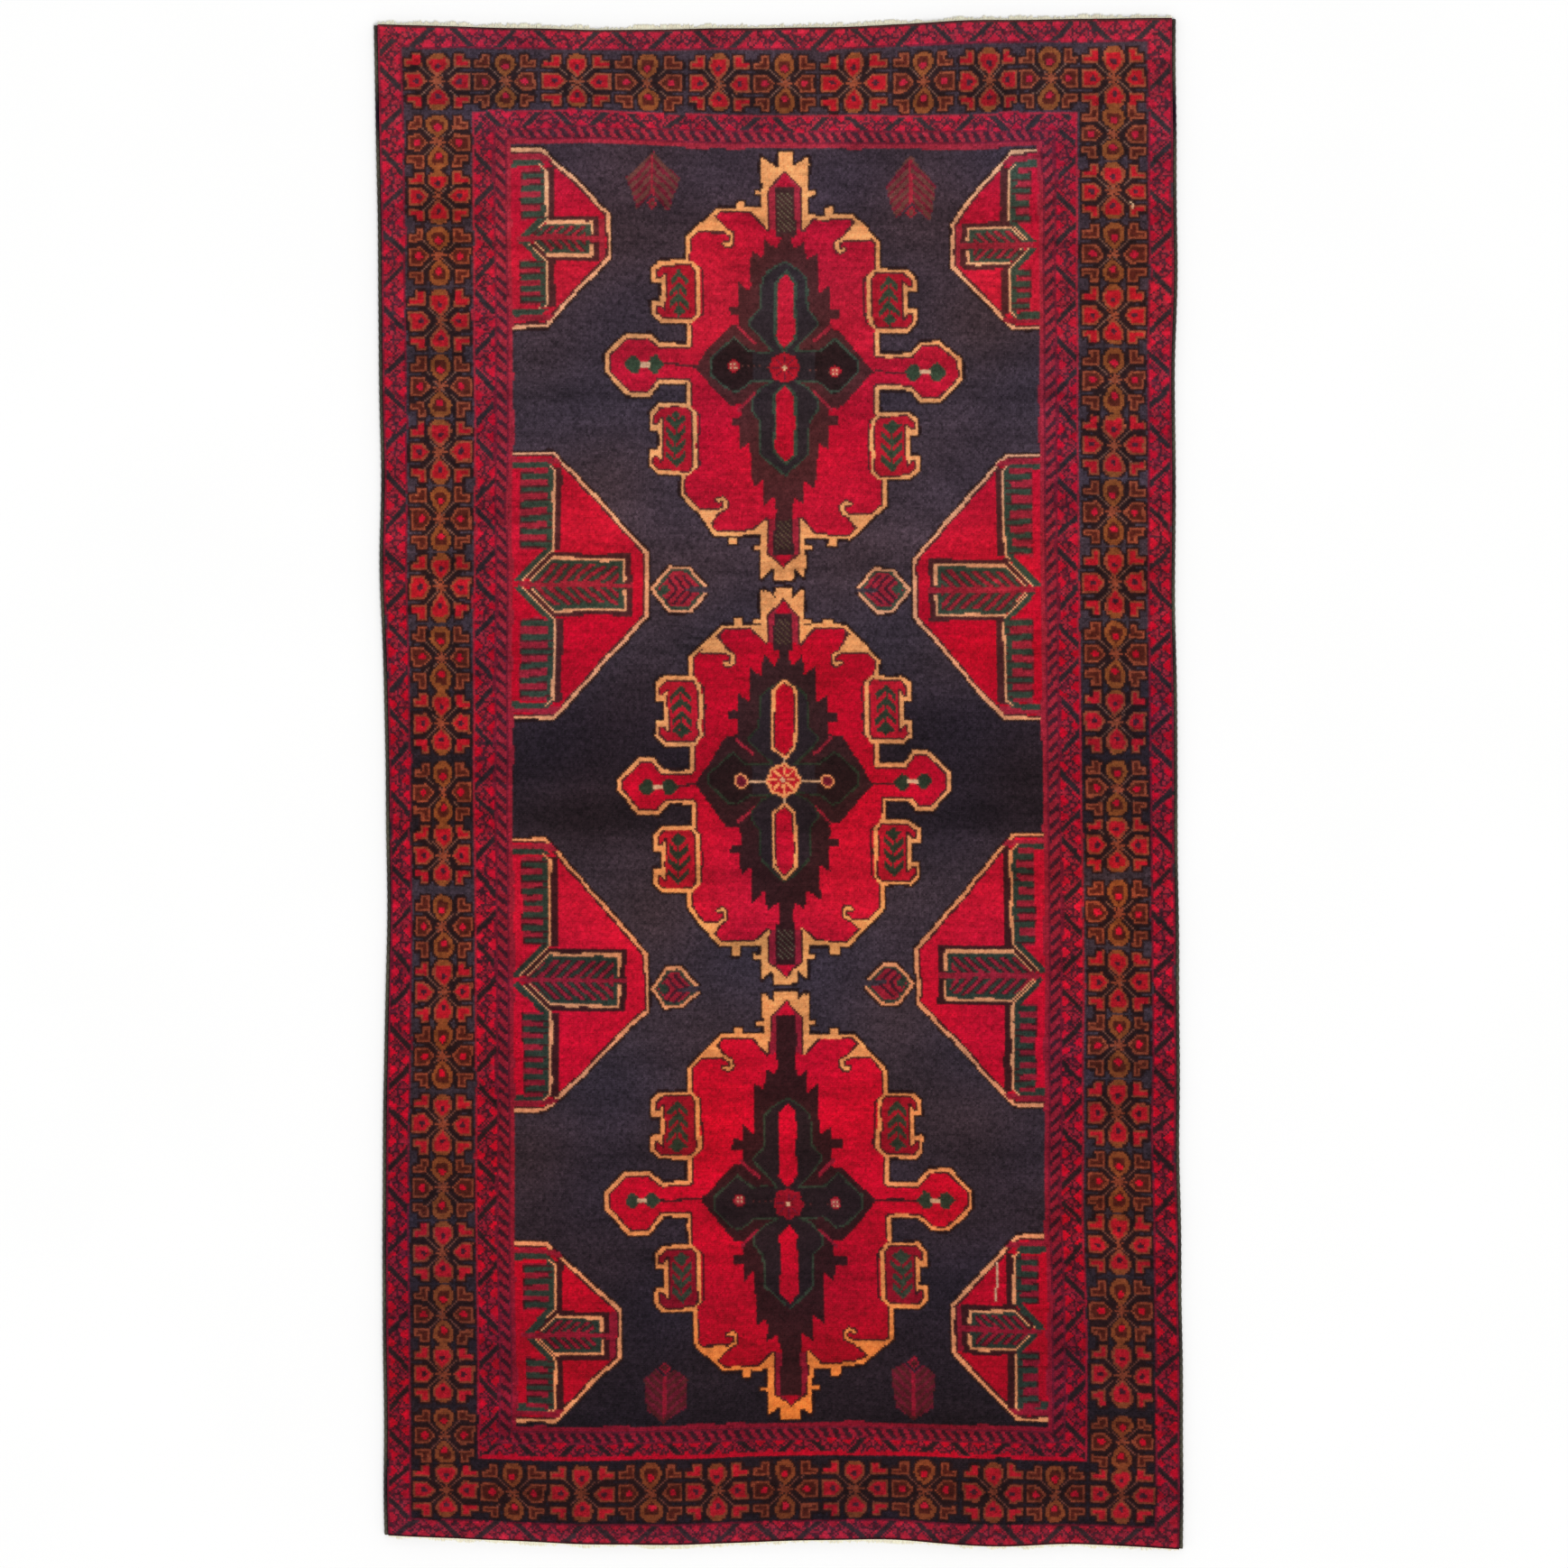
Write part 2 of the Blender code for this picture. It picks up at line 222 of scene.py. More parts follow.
DYES: dict[Yarn, Dye] = {
    Yarn.NAVY: Dye(
        ((390, (68, 53, 62)), (300, (67, 52, 62)), (205, (64, 51, 60)), (135, (72, 57, 67)), (70, (60, 48, 57)),
         (36, (46, 34, 42)), (10, (40, 29, 36)), (-20, (42, 31, 38)), (-45, (62, 49, 58)), (-120, (62, 49, 58)),
         (-200, (52, 40, 49)), (-280, (42, 31, 39)), (-330, (32, 23, 30)), (-390, (34, 24, 32))),
        0.24,
    ),
    Yarn.RED: Dye(
        ((390, (190, 36, 62)), (290, (186, 18, 50)), (250, (194, 28, 54)), (180, (190, 12, 44)), (130, (198, 20, 50)),
         (70, (186, 2, 36)), (20, (186, 2, 36)), (-60, (200, 18, 48)), (-140, (202, 8, 42)), (-220, (192, 2, 36)),
         (-300, (172, 2, 32)), (-360, (172, 6, 36)), (-390, (188, 34, 58))),
        0.15,
    ),
    Yarn.GOLD: Dye(
        ((390, (240, 165, 100)), (230, (240, 164, 108)), (120, (243, 168, 108)), (80, (240, 160, 98)),
         (0, (236, 156, 100)), (-80, (240, 158, 92)), (-200, (228, 144, 90)), (-320, (236, 132, 58))),
        0.07,
    ),
    Yarn.PEACH: Dye(
        ((390, (234, 172, 130)), (200, (234, 170, 132)), (60, (228, 158, 118)), (0, (222, 142, 92)),
         (-150, (226, 150, 108)), (-330, (228, 146, 98))),
        0.07,
    ),
    Yarn.GREEN: Dye(((390, (66, 78, 66)), (100, (56, 70, 58)), (-20, (48, 58, 48)), (-330, (44, 54, 46))), 0.16),
    Yarn.BROWN: Dye(((390, (82, 40, 42)), (100, (78, 35, 38)), (-40, (62, 24, 27)), (-330, (56, 20, 23))), 0.14),
    Yarn.ROSE: Dye(((390, (168, 44, 62)), (0, (154, 32, 50)), (-330, (136, 20, 42)), (-390, (156, 38, 58))), 0.15),
    Yarn.WINE: Dye(((390, (124, 34, 54)), (0, (112, 24, 44)), (-330, (104, 22, 42))), 0.16),
    Yarn.RUST: Dye(((390, (152, 76, 52)), (0, (144, 66, 44)), (-330, (122, 56, 38))), 0.15),
    Yarn.UMBER: Dye(((390, (92, 36, 28)), (0, (84, 31, 21)), (-330, (72, 25, 18))), 0.15),
    Yarn.BLACK: Dye(((390, (46, 28, 30)), (0, (38, 20, 22)), (-330, (36, 18, 20))), 0.16),
    Yarn.PALE: Dye(((390, (222, 176, 140)), (-330, (206, 160, 126))), 0.08),
    Yarn.MOSS: Dye(((390, (112, 68, 62)), (-280, (84, 34, 36)), (-330, (76, 24, 28))), 0.12),
    Yarn.MIST: Dye(((390, (122, 84, 72)), (0, (112, 70, 58)), (-330, (98, 54, 46))), 0.14),
    Yarn.OLIVE: Dye(((390, (112, 96, 76)), (80, (84, 64, 48)), (-100, (92, 76, 60)), (-330, (60, 34, 30))), 0.16),
    Yarn.CHERRY: Dye(((390, (170, 24, 44)), (0, (190, 22, 42)), (-330, (120, 10, 30))), 0.12),
    Yarn.PINK: Dye(((390, (186, 56, 58)), (-330, (178, 62, 70))), 0.12),
    Yarn.MADDER: Dye(((390, (182, 26, 40)), (0, (180, 20, 36)), (-330, (166, 20, 36))), 0.16),
    Yarn.PLUM: Dye(((390, (74, 38, 50)), (0, (62, 26, 38)), (-330, (52, 20, 30)), (-390, (72, 32, 44))), 0.16),
    Yarn.BUD: Dye(((390, (66, 82, 62)), (0, (44, 52, 38)), (-330, (56, 62, 48))), 0.14),
    Yarn.AMBER: Dye(((390, (146, 80, 44)), (0, (142, 74, 36)), (-330, (122, 60, 34))), 0.10),
    Yarn.SLATE: Dye(((390, (56, 45, 50)), (100, (44, 34, 40)), (0, (43, 32, 38)), (-100, (42, 26, 29)),
                     (-360, (38, 24, 28)), (-390, (60, 40, 46))), 0.14),
    Yarn.COFFEE: Dye(((390, (74, 42, 42)), (100, (58, 33, 36)), (0, (54, 26, 29)), (-100, (55, 22, 25)),
                      (-330, (52, 20, 23))), 0.15),
}


# ---- the loom chart


def inside(u: np.ndarray, v: np.ndarray, outline: Outline) -> np.ndarray:
    """True where a place is in the outline, by counting the edges to its right."""
    hit = np.zeros(u.shape, bool)
    for (u0, v0), (u1, v1) in zip(outline, [*outline[1:], outline[0]]):
        if v1 != v0:
            hit ^= ((v0 > v) != (v1 > v)) & (u < (u1 - u0) * (v - v0) / (v1 - v0) + u0)
    return hit


def reach(u: np.ndarray, v: np.ndarray, line: Outline) -> np.ndarray:
    """The distance from each place to the nearest point of a line of straight runs."""
    nearest = np.full(u.shape, np.inf)
    for (u0, v0), (u1, v1) in zip(line, line[1:]):
        du, dv = u1 - u0, v1 - v0
        t = np.clip(((u - u0) * du + (v - v0) * dv) / max(du * du + dv * dv, 1e-9), 0, 1)
        nearest = np.minimum(nearest, np.hypot(u - u0 - t * du, v - v0 - t * dv))
    return nearest


class LoomChart:
    """The rug's pattern: the yarn of each knot, row by row.

    Shapes are drawn on the even grid seen through a slight waver, so that no line comes out ruled.
    """

    def __init__(self) -> None:
        """Starts an empty chart, all ground yarn."""
        columns = np.arange(KNOTS) - (KNOTS - 1) / 2
        rows = np.arange(ROWS) - (ROWS - 1) / 2
        self.knot_u, self.knot_v = np.meshgrid(columns, rows)
        self.u = self.knot_u + 0.26 * ripple(self.knot_u, self.knot_v, 1, 19, 12)
        self.v = self.knot_v + 0.26 * ripple(self.knot_u, self.knot_v, 2, 23, 12)
        self.yarn = np.full(self.u.shape, Yarn.NAVY, np.int16)

    def window(self, line: Outline, margin: float = 4) -> tuple[slice, slice]:
        """The rows and columns that a shape can touch."""
        us, vs = [p[0] for p in line], [p[1] for p in line]
        left, right = min(us) - margin + SIDE, max(us) + margin + SIDE
        low, high = min(vs) - margin + END, max(vs) + margin + END
        return slice(max(0, int(low)), max(0, int(high) + 1)), slice(max(0, int(left)), max(0, int(right) + 1))

    def knot(self, at: tuple[slice, slice], hit: np.ndarray, yarn: Yarn, over: Sequence[Yarn] | None = None) -> None:
        """Ties a window's hit knots in one yarn, or only those now in one of the yarns of over."""
        if over is not None:
            hit = hit & np.isin(self.yarn[at], over)
        self.yarn[at][hit] = yarn

    def fill(self, outline: Outline, yarn: Yarn, over: Sequence[Yarn] | None = None) -> None:
        """Ties every knot inside the outline."""
        at = self.window(outline)
        self.knot(at, inside(self.u[at], self.v[at], outline), yarn, over)

    def stroke(self, line: Outline, width: float, yarn: Yarn, dash: float = 0,
               over: Sequence[Yarn] | None = None) -> None:
        """Ties a line of a width in knots, broken every other knot or so where dash is not 0."""
        at = self.window(line)
        hit = reach(self.u[at], self.v[at], line) <= width / 2
        if dash:
            hit &= np.mod(self.knot_u[at] + self.knot_v[at], 2 * dash) < dash
        self.knot(at, hit, yarn, over)

    def disc(self, centre: Point, radius: float, yarn: Yarn) -> None:
        """Ties a round spot."""
        cu, cv = centre
        at = self.window([(cu - radius, cv - radius), (cu + radius, cv + radius)])
        self.knot(at, np.hypot(self.u[at] - cu, self.v[at] - cv) <= radius, yarn)

    def bands(self, outline: Outline, layers: Sequence[tuple[float, Yarn]], halo: Yarn | None = None,
              halo_width: float = 1.1) -> None:
        """Ties bands inwards from the edge of an outline.

        Args:
            outline: The closed outline.
            layers: (depth, yarn) pairs, each from the depth before it to its own.
            halo: A yarn for the ground just outside the outline, if there is one.
            halo_width: How wide that is.
        """
        at = self.window(outline)
        u, v = self.u[at], self.v[at]
        depth = reach(u, v, [*outline, outline[0]])
        within = inside(u, v, outline)
        cells = self.yarn[at]
        if halo is not None:
            cells[~within & (depth < halo_width) & (cells == Yarn.NAVY)] = halo
        start = 0.0
        for stop, yarn in layers:
            cells[within & (depth >= start) & (depth < stop)] = yarn
            start = stop

    def stripes(self, outline: Outline, phase: Callable[[np.ndarray, np.ndarray], np.ndarray], pitch: float,
                share: float, yarn: Yarn) -> None:
        """Ties the part of an outline where a phase, counted in pitches, is in its first share."""
        at = self.window(outline)
        u, v = self.u[at], self.v[at]
        self.knot(at, inside(u, v, outline) & (np.mod(phase(u, v) / pitch, 1) < share), yarn)


def box(u0: float, u1: float, v0: float, v1: float) -> list[Point]:
    """The four corners of a rectangle."""
    return [(u0, v0), (u1, v0), (u1, v1), (u0, v1)]


# A depth past the middle of any shape: a band of this depth fills it.
FULL = 999.0


# ---- medallions


WIDE_HALO = 1.3


@dataclass(frozen=True)
class Pendant:
    """One of the four boxes hung on a medallion's flank, with a small fir tree in it.

    Attributes:
        inner: u of its side in the medallion.
        outer: u of its side in the ground.
        low: Its lower edge.
        high: Its upper edge.
        points_up: Whether the tree's tip is at the top.
    """

    inner: float
    outer: float
    low: float
    high: float
    points_up: bool

    def place(self, points: Iterable[Point]) -> list[Point]:
        """Points given as shares of the box's width from its inner side and of its height, on the chart."""
        wide, tall = self.outer - self.inner, self.high - self.low
        return [(self.inner + a * wide, self.low + b * tall) for a, b in points]

    def tie(self, chart: LoomChart) -> None:
        """Ties the box's gold frame, its red ground and its tree."""
        frame_line = self.place([(0.16, 1), (0.80, 1), (1, 0.88), (1, 0.65), (0.82, 0.65), (0.82, 0.345),
                                 (1, 0.345), (1, 0.12), (0.82, 0), (0.17, 0), (0, 0.13), (0, 0.87)])
        ground = self.place([(0.18, 0.955), (0.77, 0.955), (0.93, 0.85), (0.93, 0.72), (0.83, 0.72), (0.745, 0.80),
                             (0.745, 0.20), (0.83, 0.28), (0.93, 0.28), (0.93, 0.14), (0.80, 0.045), (0.18, 0.045),
                             (0.08, 0.13), (0.08, 0.86)])
        chart.bands(frame_line, [(FULL, Yarn.GOLD)], Yarn.BLACK)
        chart.stroke(self.place([(0.04, 0.10), (-0.045, 0.16), (-0.045, 0.84), (0.04, 0.92)]), 1.1, Yarn.BROWN,
                     over=[Yarn.RED])
        chart.bands(ground, [(0.9, Yarn.BROWN), (FULL, Yarn.CHERRY)])
        sign = 1 if self.points_up else -1
        stem = self.inner + 0.45 * (self.outer - self.inner)
        middle, tall = (self.low + self.high) / 2, self.high - self.low
        tip = middle + sign * 0.34 * tall
        tail = middle - sign * 0.31 * tall
        half, crown = 5.2, tip + sign * 1.5
        tree = [(stem, crown), (stem + half, tip - sign * 4), (stem + half, tail), (stem, tail - sign * 2),
                (stem - half, tail), (stem - half, tip - sign * 4)]
        chart.stripes(tree, lambda u, v: sign * (crown - v) - 1.05 * np.abs(u - stem), 6.2, 0.58, Yarn.BUD)
        chart.stroke([(stem, tip - sign * 3), (stem, tail)], 0.9, Yarn.BUD)
        chart.fill([(stem, tail + sign * 2), (stem + 2.4, tail - sign * 0.6), (stem, tail - sign * 3.2),
                    (stem - 2.4, tail - sign * 0.6)], Yarn.BUD)


@dataclass(frozen=True)
class Hook:
    """A scroll inside a medallion's shoulder: a gold web with a hooked end.

    Attributes:
        corner: Where the web meets the shoulder.
        heel: The outer end of the web's straight edge.
        root: The inner end of that edge, where the hook starts.
    """

    corner: Point
    heel: Point
    root: Point

    def tie(self, chart: LoomChart) -> None:
        """Ties the web and its hook, with a dark line under them."""
        inward = 1.0 if self.root[0] > self.heel[0] else -1.0
        away = 1.0 if self.root[1] > self.corner[1] else -1.0
        ru, rv = self.root
        curl = [(ru + inward * a, rv + away * b)
                for a, b in ((-0.5, 0), (2.3, 1.7), (2.5, 5.0), (1.0, 6.5), (-1.4, 5.6))]
        waist = (self.corner[0] + inward * 0.5, self.corner[1] + away * 3.5)
        chart.stroke(curl, 3.4, Yarn.BROWN, over=[Yarn.RED])
        chart.stroke([self.heel, self.root, waist, self.corner], 2.2, Yarn.BROWN, over=[Yarn.RED])
        full = [(self.corner[0] - inward * 2.5, self.corner[1]), self.heel, self.root, waist]
        chart.fill(full, Yarn.GOLD, over=[Yarn.RED, Yarn.BROWN])
        chart.stroke(curl, 1.5, Yarn.GOLD)


@dataclass(frozen=True)
class Tower:
    """The stepped gold finial at one end of a medallion, open down the middle for the pillar.

    Attributes:
        walls: u of the walls' faces: left outside, left inside, right inside, right outside.
        shoulder: v of the shoulder line that it stands on.
        eaves: v where the walls meet the roof.
        apex: The roof's inner point.
        valley: v of the notches beside the block.
        tip: v of the two spikes.
        block: u of the block's sides.
        end: v of the block's end.
        root: v where the webs end inside the medallion.
        speckled: Whether the pillar is tied in a chequer.
    """

    walls: tuple[float, float, float, float]
    shoulder: float
    eaves: float
    apex: Point
    valley: float
    tip: float
    block: Point
    end: float
    root: float
    speckled: bool = True

    def tie(self, chart: LoomChart) -> None:
        """Ties the gold finial, its side stubs and webs, then the red lining and the pillar."""
        out = 1.0 if self.tip > self.shoulder else -1.0
        left, left_in, right_in, right = self.walls
        b0, b1 = self.block
        base = self.shoulder - out * 2
        solid = [(left, base), (left, self.tip), (b0 - 0.3, self.valley), (b0, self.end), (b1, self.end),
                 (b1 + 0.3, self.valley), (right, self.tip), (right, base)]
        chart.bands(solid, [(FULL, Yarn.GOLD)], Yarn.BLACK, WIDE_HALO)
        stub = self.eaves - out * 3.2
        for inner, outer in ((left + 1, left - 3.6), (right - 1, right + 3.6)):
            chart.bands(box(min(inner, outer), max(inner, outer), stub - 1, stub + 1), [(FULL, Yarn.GOLD)], Yarn.BLACK)
        for edge, side in ((left_in, -1.0), (right_in, 1.0)):
            web = [(edge + side * 8.2, self.shoulder), (edge, self.shoulder), (edge, self.root)]
            chart.stroke([web[2], web[0]], 2.4, Yarn.BROWN, over=[Yarn.RED])
            chart.fill(web, Yarn.GOLD)
        au, av = self.apex
        foot, knee = self.root - out * 2, (self.eaves + 2 * av) / 3 - out
        lining = [(left_in, foot), (left_in, self.eaves), (au - 3.4, knee), (au, av), (au + 3.4, knee),
                  (right_in, self.eaves), (right_in, foot)]
        chart.bands(lining, [(0.9, Yarn.BROWN), (FULL, Yarn.ROSE)])
        chart.fill([(left_in + 3.2, self.eaves - out), (au, av - out), (right_in - 3.2, self.eaves - out)], Yarn.RED)
        deep, near, past = self.root - out * 3, self.root - out * 0.5, self.root + out
        chart.fill([(left_in - 1, deep), (left_in - 1, near), (left_in + 3.5, past), (right_in - 3.5, past),
                    (right_in + 1, near), (right_in + 1, deep)], Yarn.RED)
        chart.fill(box(left_in + 3.6, right_in - 3.6, deep, self.eaves + out * 0.5), Yarn.COFFEE)
        if self.speckled:
            weave = box(left_in + 4.6, right_in - 4.6, self.root, self.eaves - out * 2.5)
            at = chart.window(weave)
            chequer = np.mod(chart.knot_u[at] + 0.5 + chart.knot_v[at], 3) < 1
            chart.knot(at, inside(chart.u[at], chart.v[at], weave) & chequer, Yarn.OLIVE)


@dataclass(frozen=True)
class Cross:
    """The dark serrated cross in a medallion, with its lozenges and rosettes.

    Attributes:
        outline: The whole serrated edge, left side down and right side up.
        centre: The rosette's centre.
        stretch: The inner line's height against the top medallion's.
        ground: The serrated band's yarn.
        heart: The yarn inside the thin line.
        wing: The yarn of the two side arms.
        line: The thin line's yarn.
        lozenges: The two long red lozenges.
        rim: The lozenges' edge.
        side_flowers: Centres of the two small flowers.
        gold_rosette: Whether the rosette is gold-rimmed, with gold stems.
    """

    outline: list[Point]
    centre: Point
    stretch: float
    ground: Yarn
    heart: Yarn
    wing: Yarn
    line: Yarn
    lozenges: tuple[list[Point], list[Point]]
    rim: Yarn
    side_flowers: tuple[Point, Point]
    gold_rosette: bool = False

    def inner_line(self) -> list[Point]:
        """The thin line inside the serrated band, the same on every medallion but for its height."""
        half = [(0, 55), (-7.5, 50.5), (-11.5, 46), (-12, 30), (-17.5, 24), (-17.5, 22), (-11.5, 15), (-5.5, 9),
                (-18.5, 8.5), (-23.5, 13), (-26, 15.5), (-38, 4), (-38, -2.5), (-28.5, -12), (-24.5, -13),
                (-17.5, -7.5), (-5.5, -7.5), (-11.5, -10.5), (-17.5, -18), (-17, -22), (-13, -27), (-12.5, -44),
                (-7.5, -49.5), (-0.5, -55.5)]
        line = [*half, *[(-du, dv) for du, dv in half[::-1]]]
        return [(self.centre[0] + du, self.centre[1] + dv * self.stretch) for du, dv in line]

    def tie(self, chart: LoomChart) -> None:
        """Ties the cross from its edge inwards."""
        cu, cv = self.centre
        chart.fill(self.outline, self.ground)
        inner = self.inner_line()
        chart.fill(inner, self.heart)
        for side in (-1, 1):
            wing = [(cu + side * a, cv + b) for a, b in ((16, 8), (26, 15), (38, 3), (38, -3), (26, -14), (16, -7))]
            chart.fill(wing, self.wing)
            for up in (-1, 1):
                chart.stroke([(cu + side * 24, cv + up * 22), (cu + side * 15.5, cv + up * 13.5)], 1.5, Yarn.ROSE)
        chart.stroke([*inner, inner[0]], 0.95, self.line)
        for lozenge in self.lozenges:
            if self.rim == Yarn.GOLD:
                chart.bands(lozenge, [(1.3, Yarn.GOLD), (1.9, Yarn.BROWN), (FULL, Yarn.RED)])
            else:
                chart.stroke([*lozenge, lozenge[0]], 3.0, self.rim)
                chart.fill(lozenge, Yarn.RED)
        self.tie_rosette(chart)

    def tie_rosette(self, chart: LoomChart) -> None:
        """Ties the middle rosette and the flower at each side."""
        cu, cv = self.centre
        if self.gold_rosette:
            for end in ((cu, cv + 11.5), (cu, cv - 12), (cu - 19, cv - 0.5), (cu + 19, cv - 0.5)):
                chart.stroke([self.centre, end], 1.1, Yarn.PALE)
        else:
            for flower in self.side_flowers:
                chart.stroke([self.centre, flower], 0.8, Yarn.MOSS, dash=1.5)
        at = chart.window([(cu - 9, cv - 9), (cu + 9, cv + 9)])
        du, dv = chart.u[at] - cu, chart.v[at] - cv
        angle, size = np.arctan2(dv, du), np.hypot(du, dv)
        edge = 8.0 * (0.88 + 0.12 * np.abs(np.cos(4 * angle)))
        cells = chart.yarn[at]
        if self.gold_rosette:
            cells[size < edge + 0.9] = Yarn.GOLD
            cells[size < edge - 0.5] = Yarn.CHERRY
            cells[(size < edge - 0.9) & (size > 2) & (np.abs(np.sin(4 * angle)) * size < 1.9)] = Yarn.GOLD
        else:
            cells[size < edge] = Yarn.CHERRY
            cells[(size < edge - 1) & (size > 2) & (np.abs(np.sin(4 * angle)) * size < 1.3)] = Yarn.WINE
        cells[size < 2.3] = Yarn.CHERRY
        cells[size < 1.3] = Yarn.PALE
        for flower in self.side_flowers:
            if self.gold_rosette:
                chart.disc(flower, 3.6, Yarn.PEACH)
                chart.disc(flower, 2.7, Yarn.WINE)
            else:
                chart.disc(flower, 2.9, Yarn.CHERRY)
                chart.disc(flower, 2.1, Yarn.PINK)
                for du, dv in ((-1, -1), (1, -1), (1, 1), (-1, 1)):
                    chart.disc((flower[0] + du, flower[1] + dv), 0.55, Yarn.PALE)


@dataclass(frozen=True)
class ArmBuds:
    """The pair of green buds on a medallion's side arm.

    Attributes:
        outer: Centre of the outer bud.
        inner: Centre of the inner bud.
        half: Half the width of a bud.
        cross_tip: The point of the cross that the stem reaches.
    """

    outer: Point
    inner: Point
    half: float
    cross_tip: Point

    def tie(self, chart: LoomChart) -> None:
        """Ties the stem, both buds and the pale knot between them."""
        chart.stroke([self.inner, self.cross_tip], 1.1, Yarn.BROWN)
        for (cu, cv), (ou, _) in ((self.outer, self.inner), (self.inner, self.outer)):
            h, point = self.half, 1.0 if cu > ou else -1.0
            leaf = [(cu + point * (h + 0.8), cv), (cu + point * 1.2, cv + h * 0.95), (cu - point * 1.5, cv + h * 0.9),
                    (cu - point * (h - 0.8), cv + 1.2), (cu - point * (h - 0.8), cv - 1.2),
                    (cu - point * 1.5, cv - h * 0.9), (cu + point * 1.2, cv - h * 0.95)]
            chart.bands(leaf, [(FULL, Yarn.BUD)])
        middle = ((self.outer[0] + self.inner[0]) / 2, (self.outer[1] + self.inner[1]) / 2)
        chart.fill(box(middle[0] - 2.6, middle[0] + 2.6, middle[1] - 1.2, middle[1] + 1.2), Yarn.PALE)


@dataclass(frozen=True)
class Medallion:
    """One medallion of the chain, from its gold outline inwards."""

    name: str
    outline: list[Point]
    towers: tuple[Tower, Tower]
    pendants: tuple[Pendant, ...]
    hooks: tuple[Hook, ...]
    stubs: tuple[tuple[float, float, float, float], ...]
    cross: Cross
    buds: tuple[ArmBuds, ArmBuds]

    def tie(self, chart: LoomChart) -> None:
        """Ties the whole medallion."""
        chart.bands(self.outline, [(1.75, Yarn.GOLD), (2.7, Yarn.BROWN), (FULL, Yarn.RED)], Yarn.BLACK, WIDE_HALO)
        for u0, u1, v0, v1 in self.stubs:
            chart.bands(box(u0, u1, v0, v1), [(FULL, Yarn.GOLD)], Yarn.BLACK)
        for tower in self.towers:
            tower.tie(chart)
        for hook in self.hooks:
            hook.tie(chart)
        for bud in self.buds:
            bud.tie(chart)
        self.cross.tie(chart)
        for pendant in self.pendants:
            pendant.tie(chart)


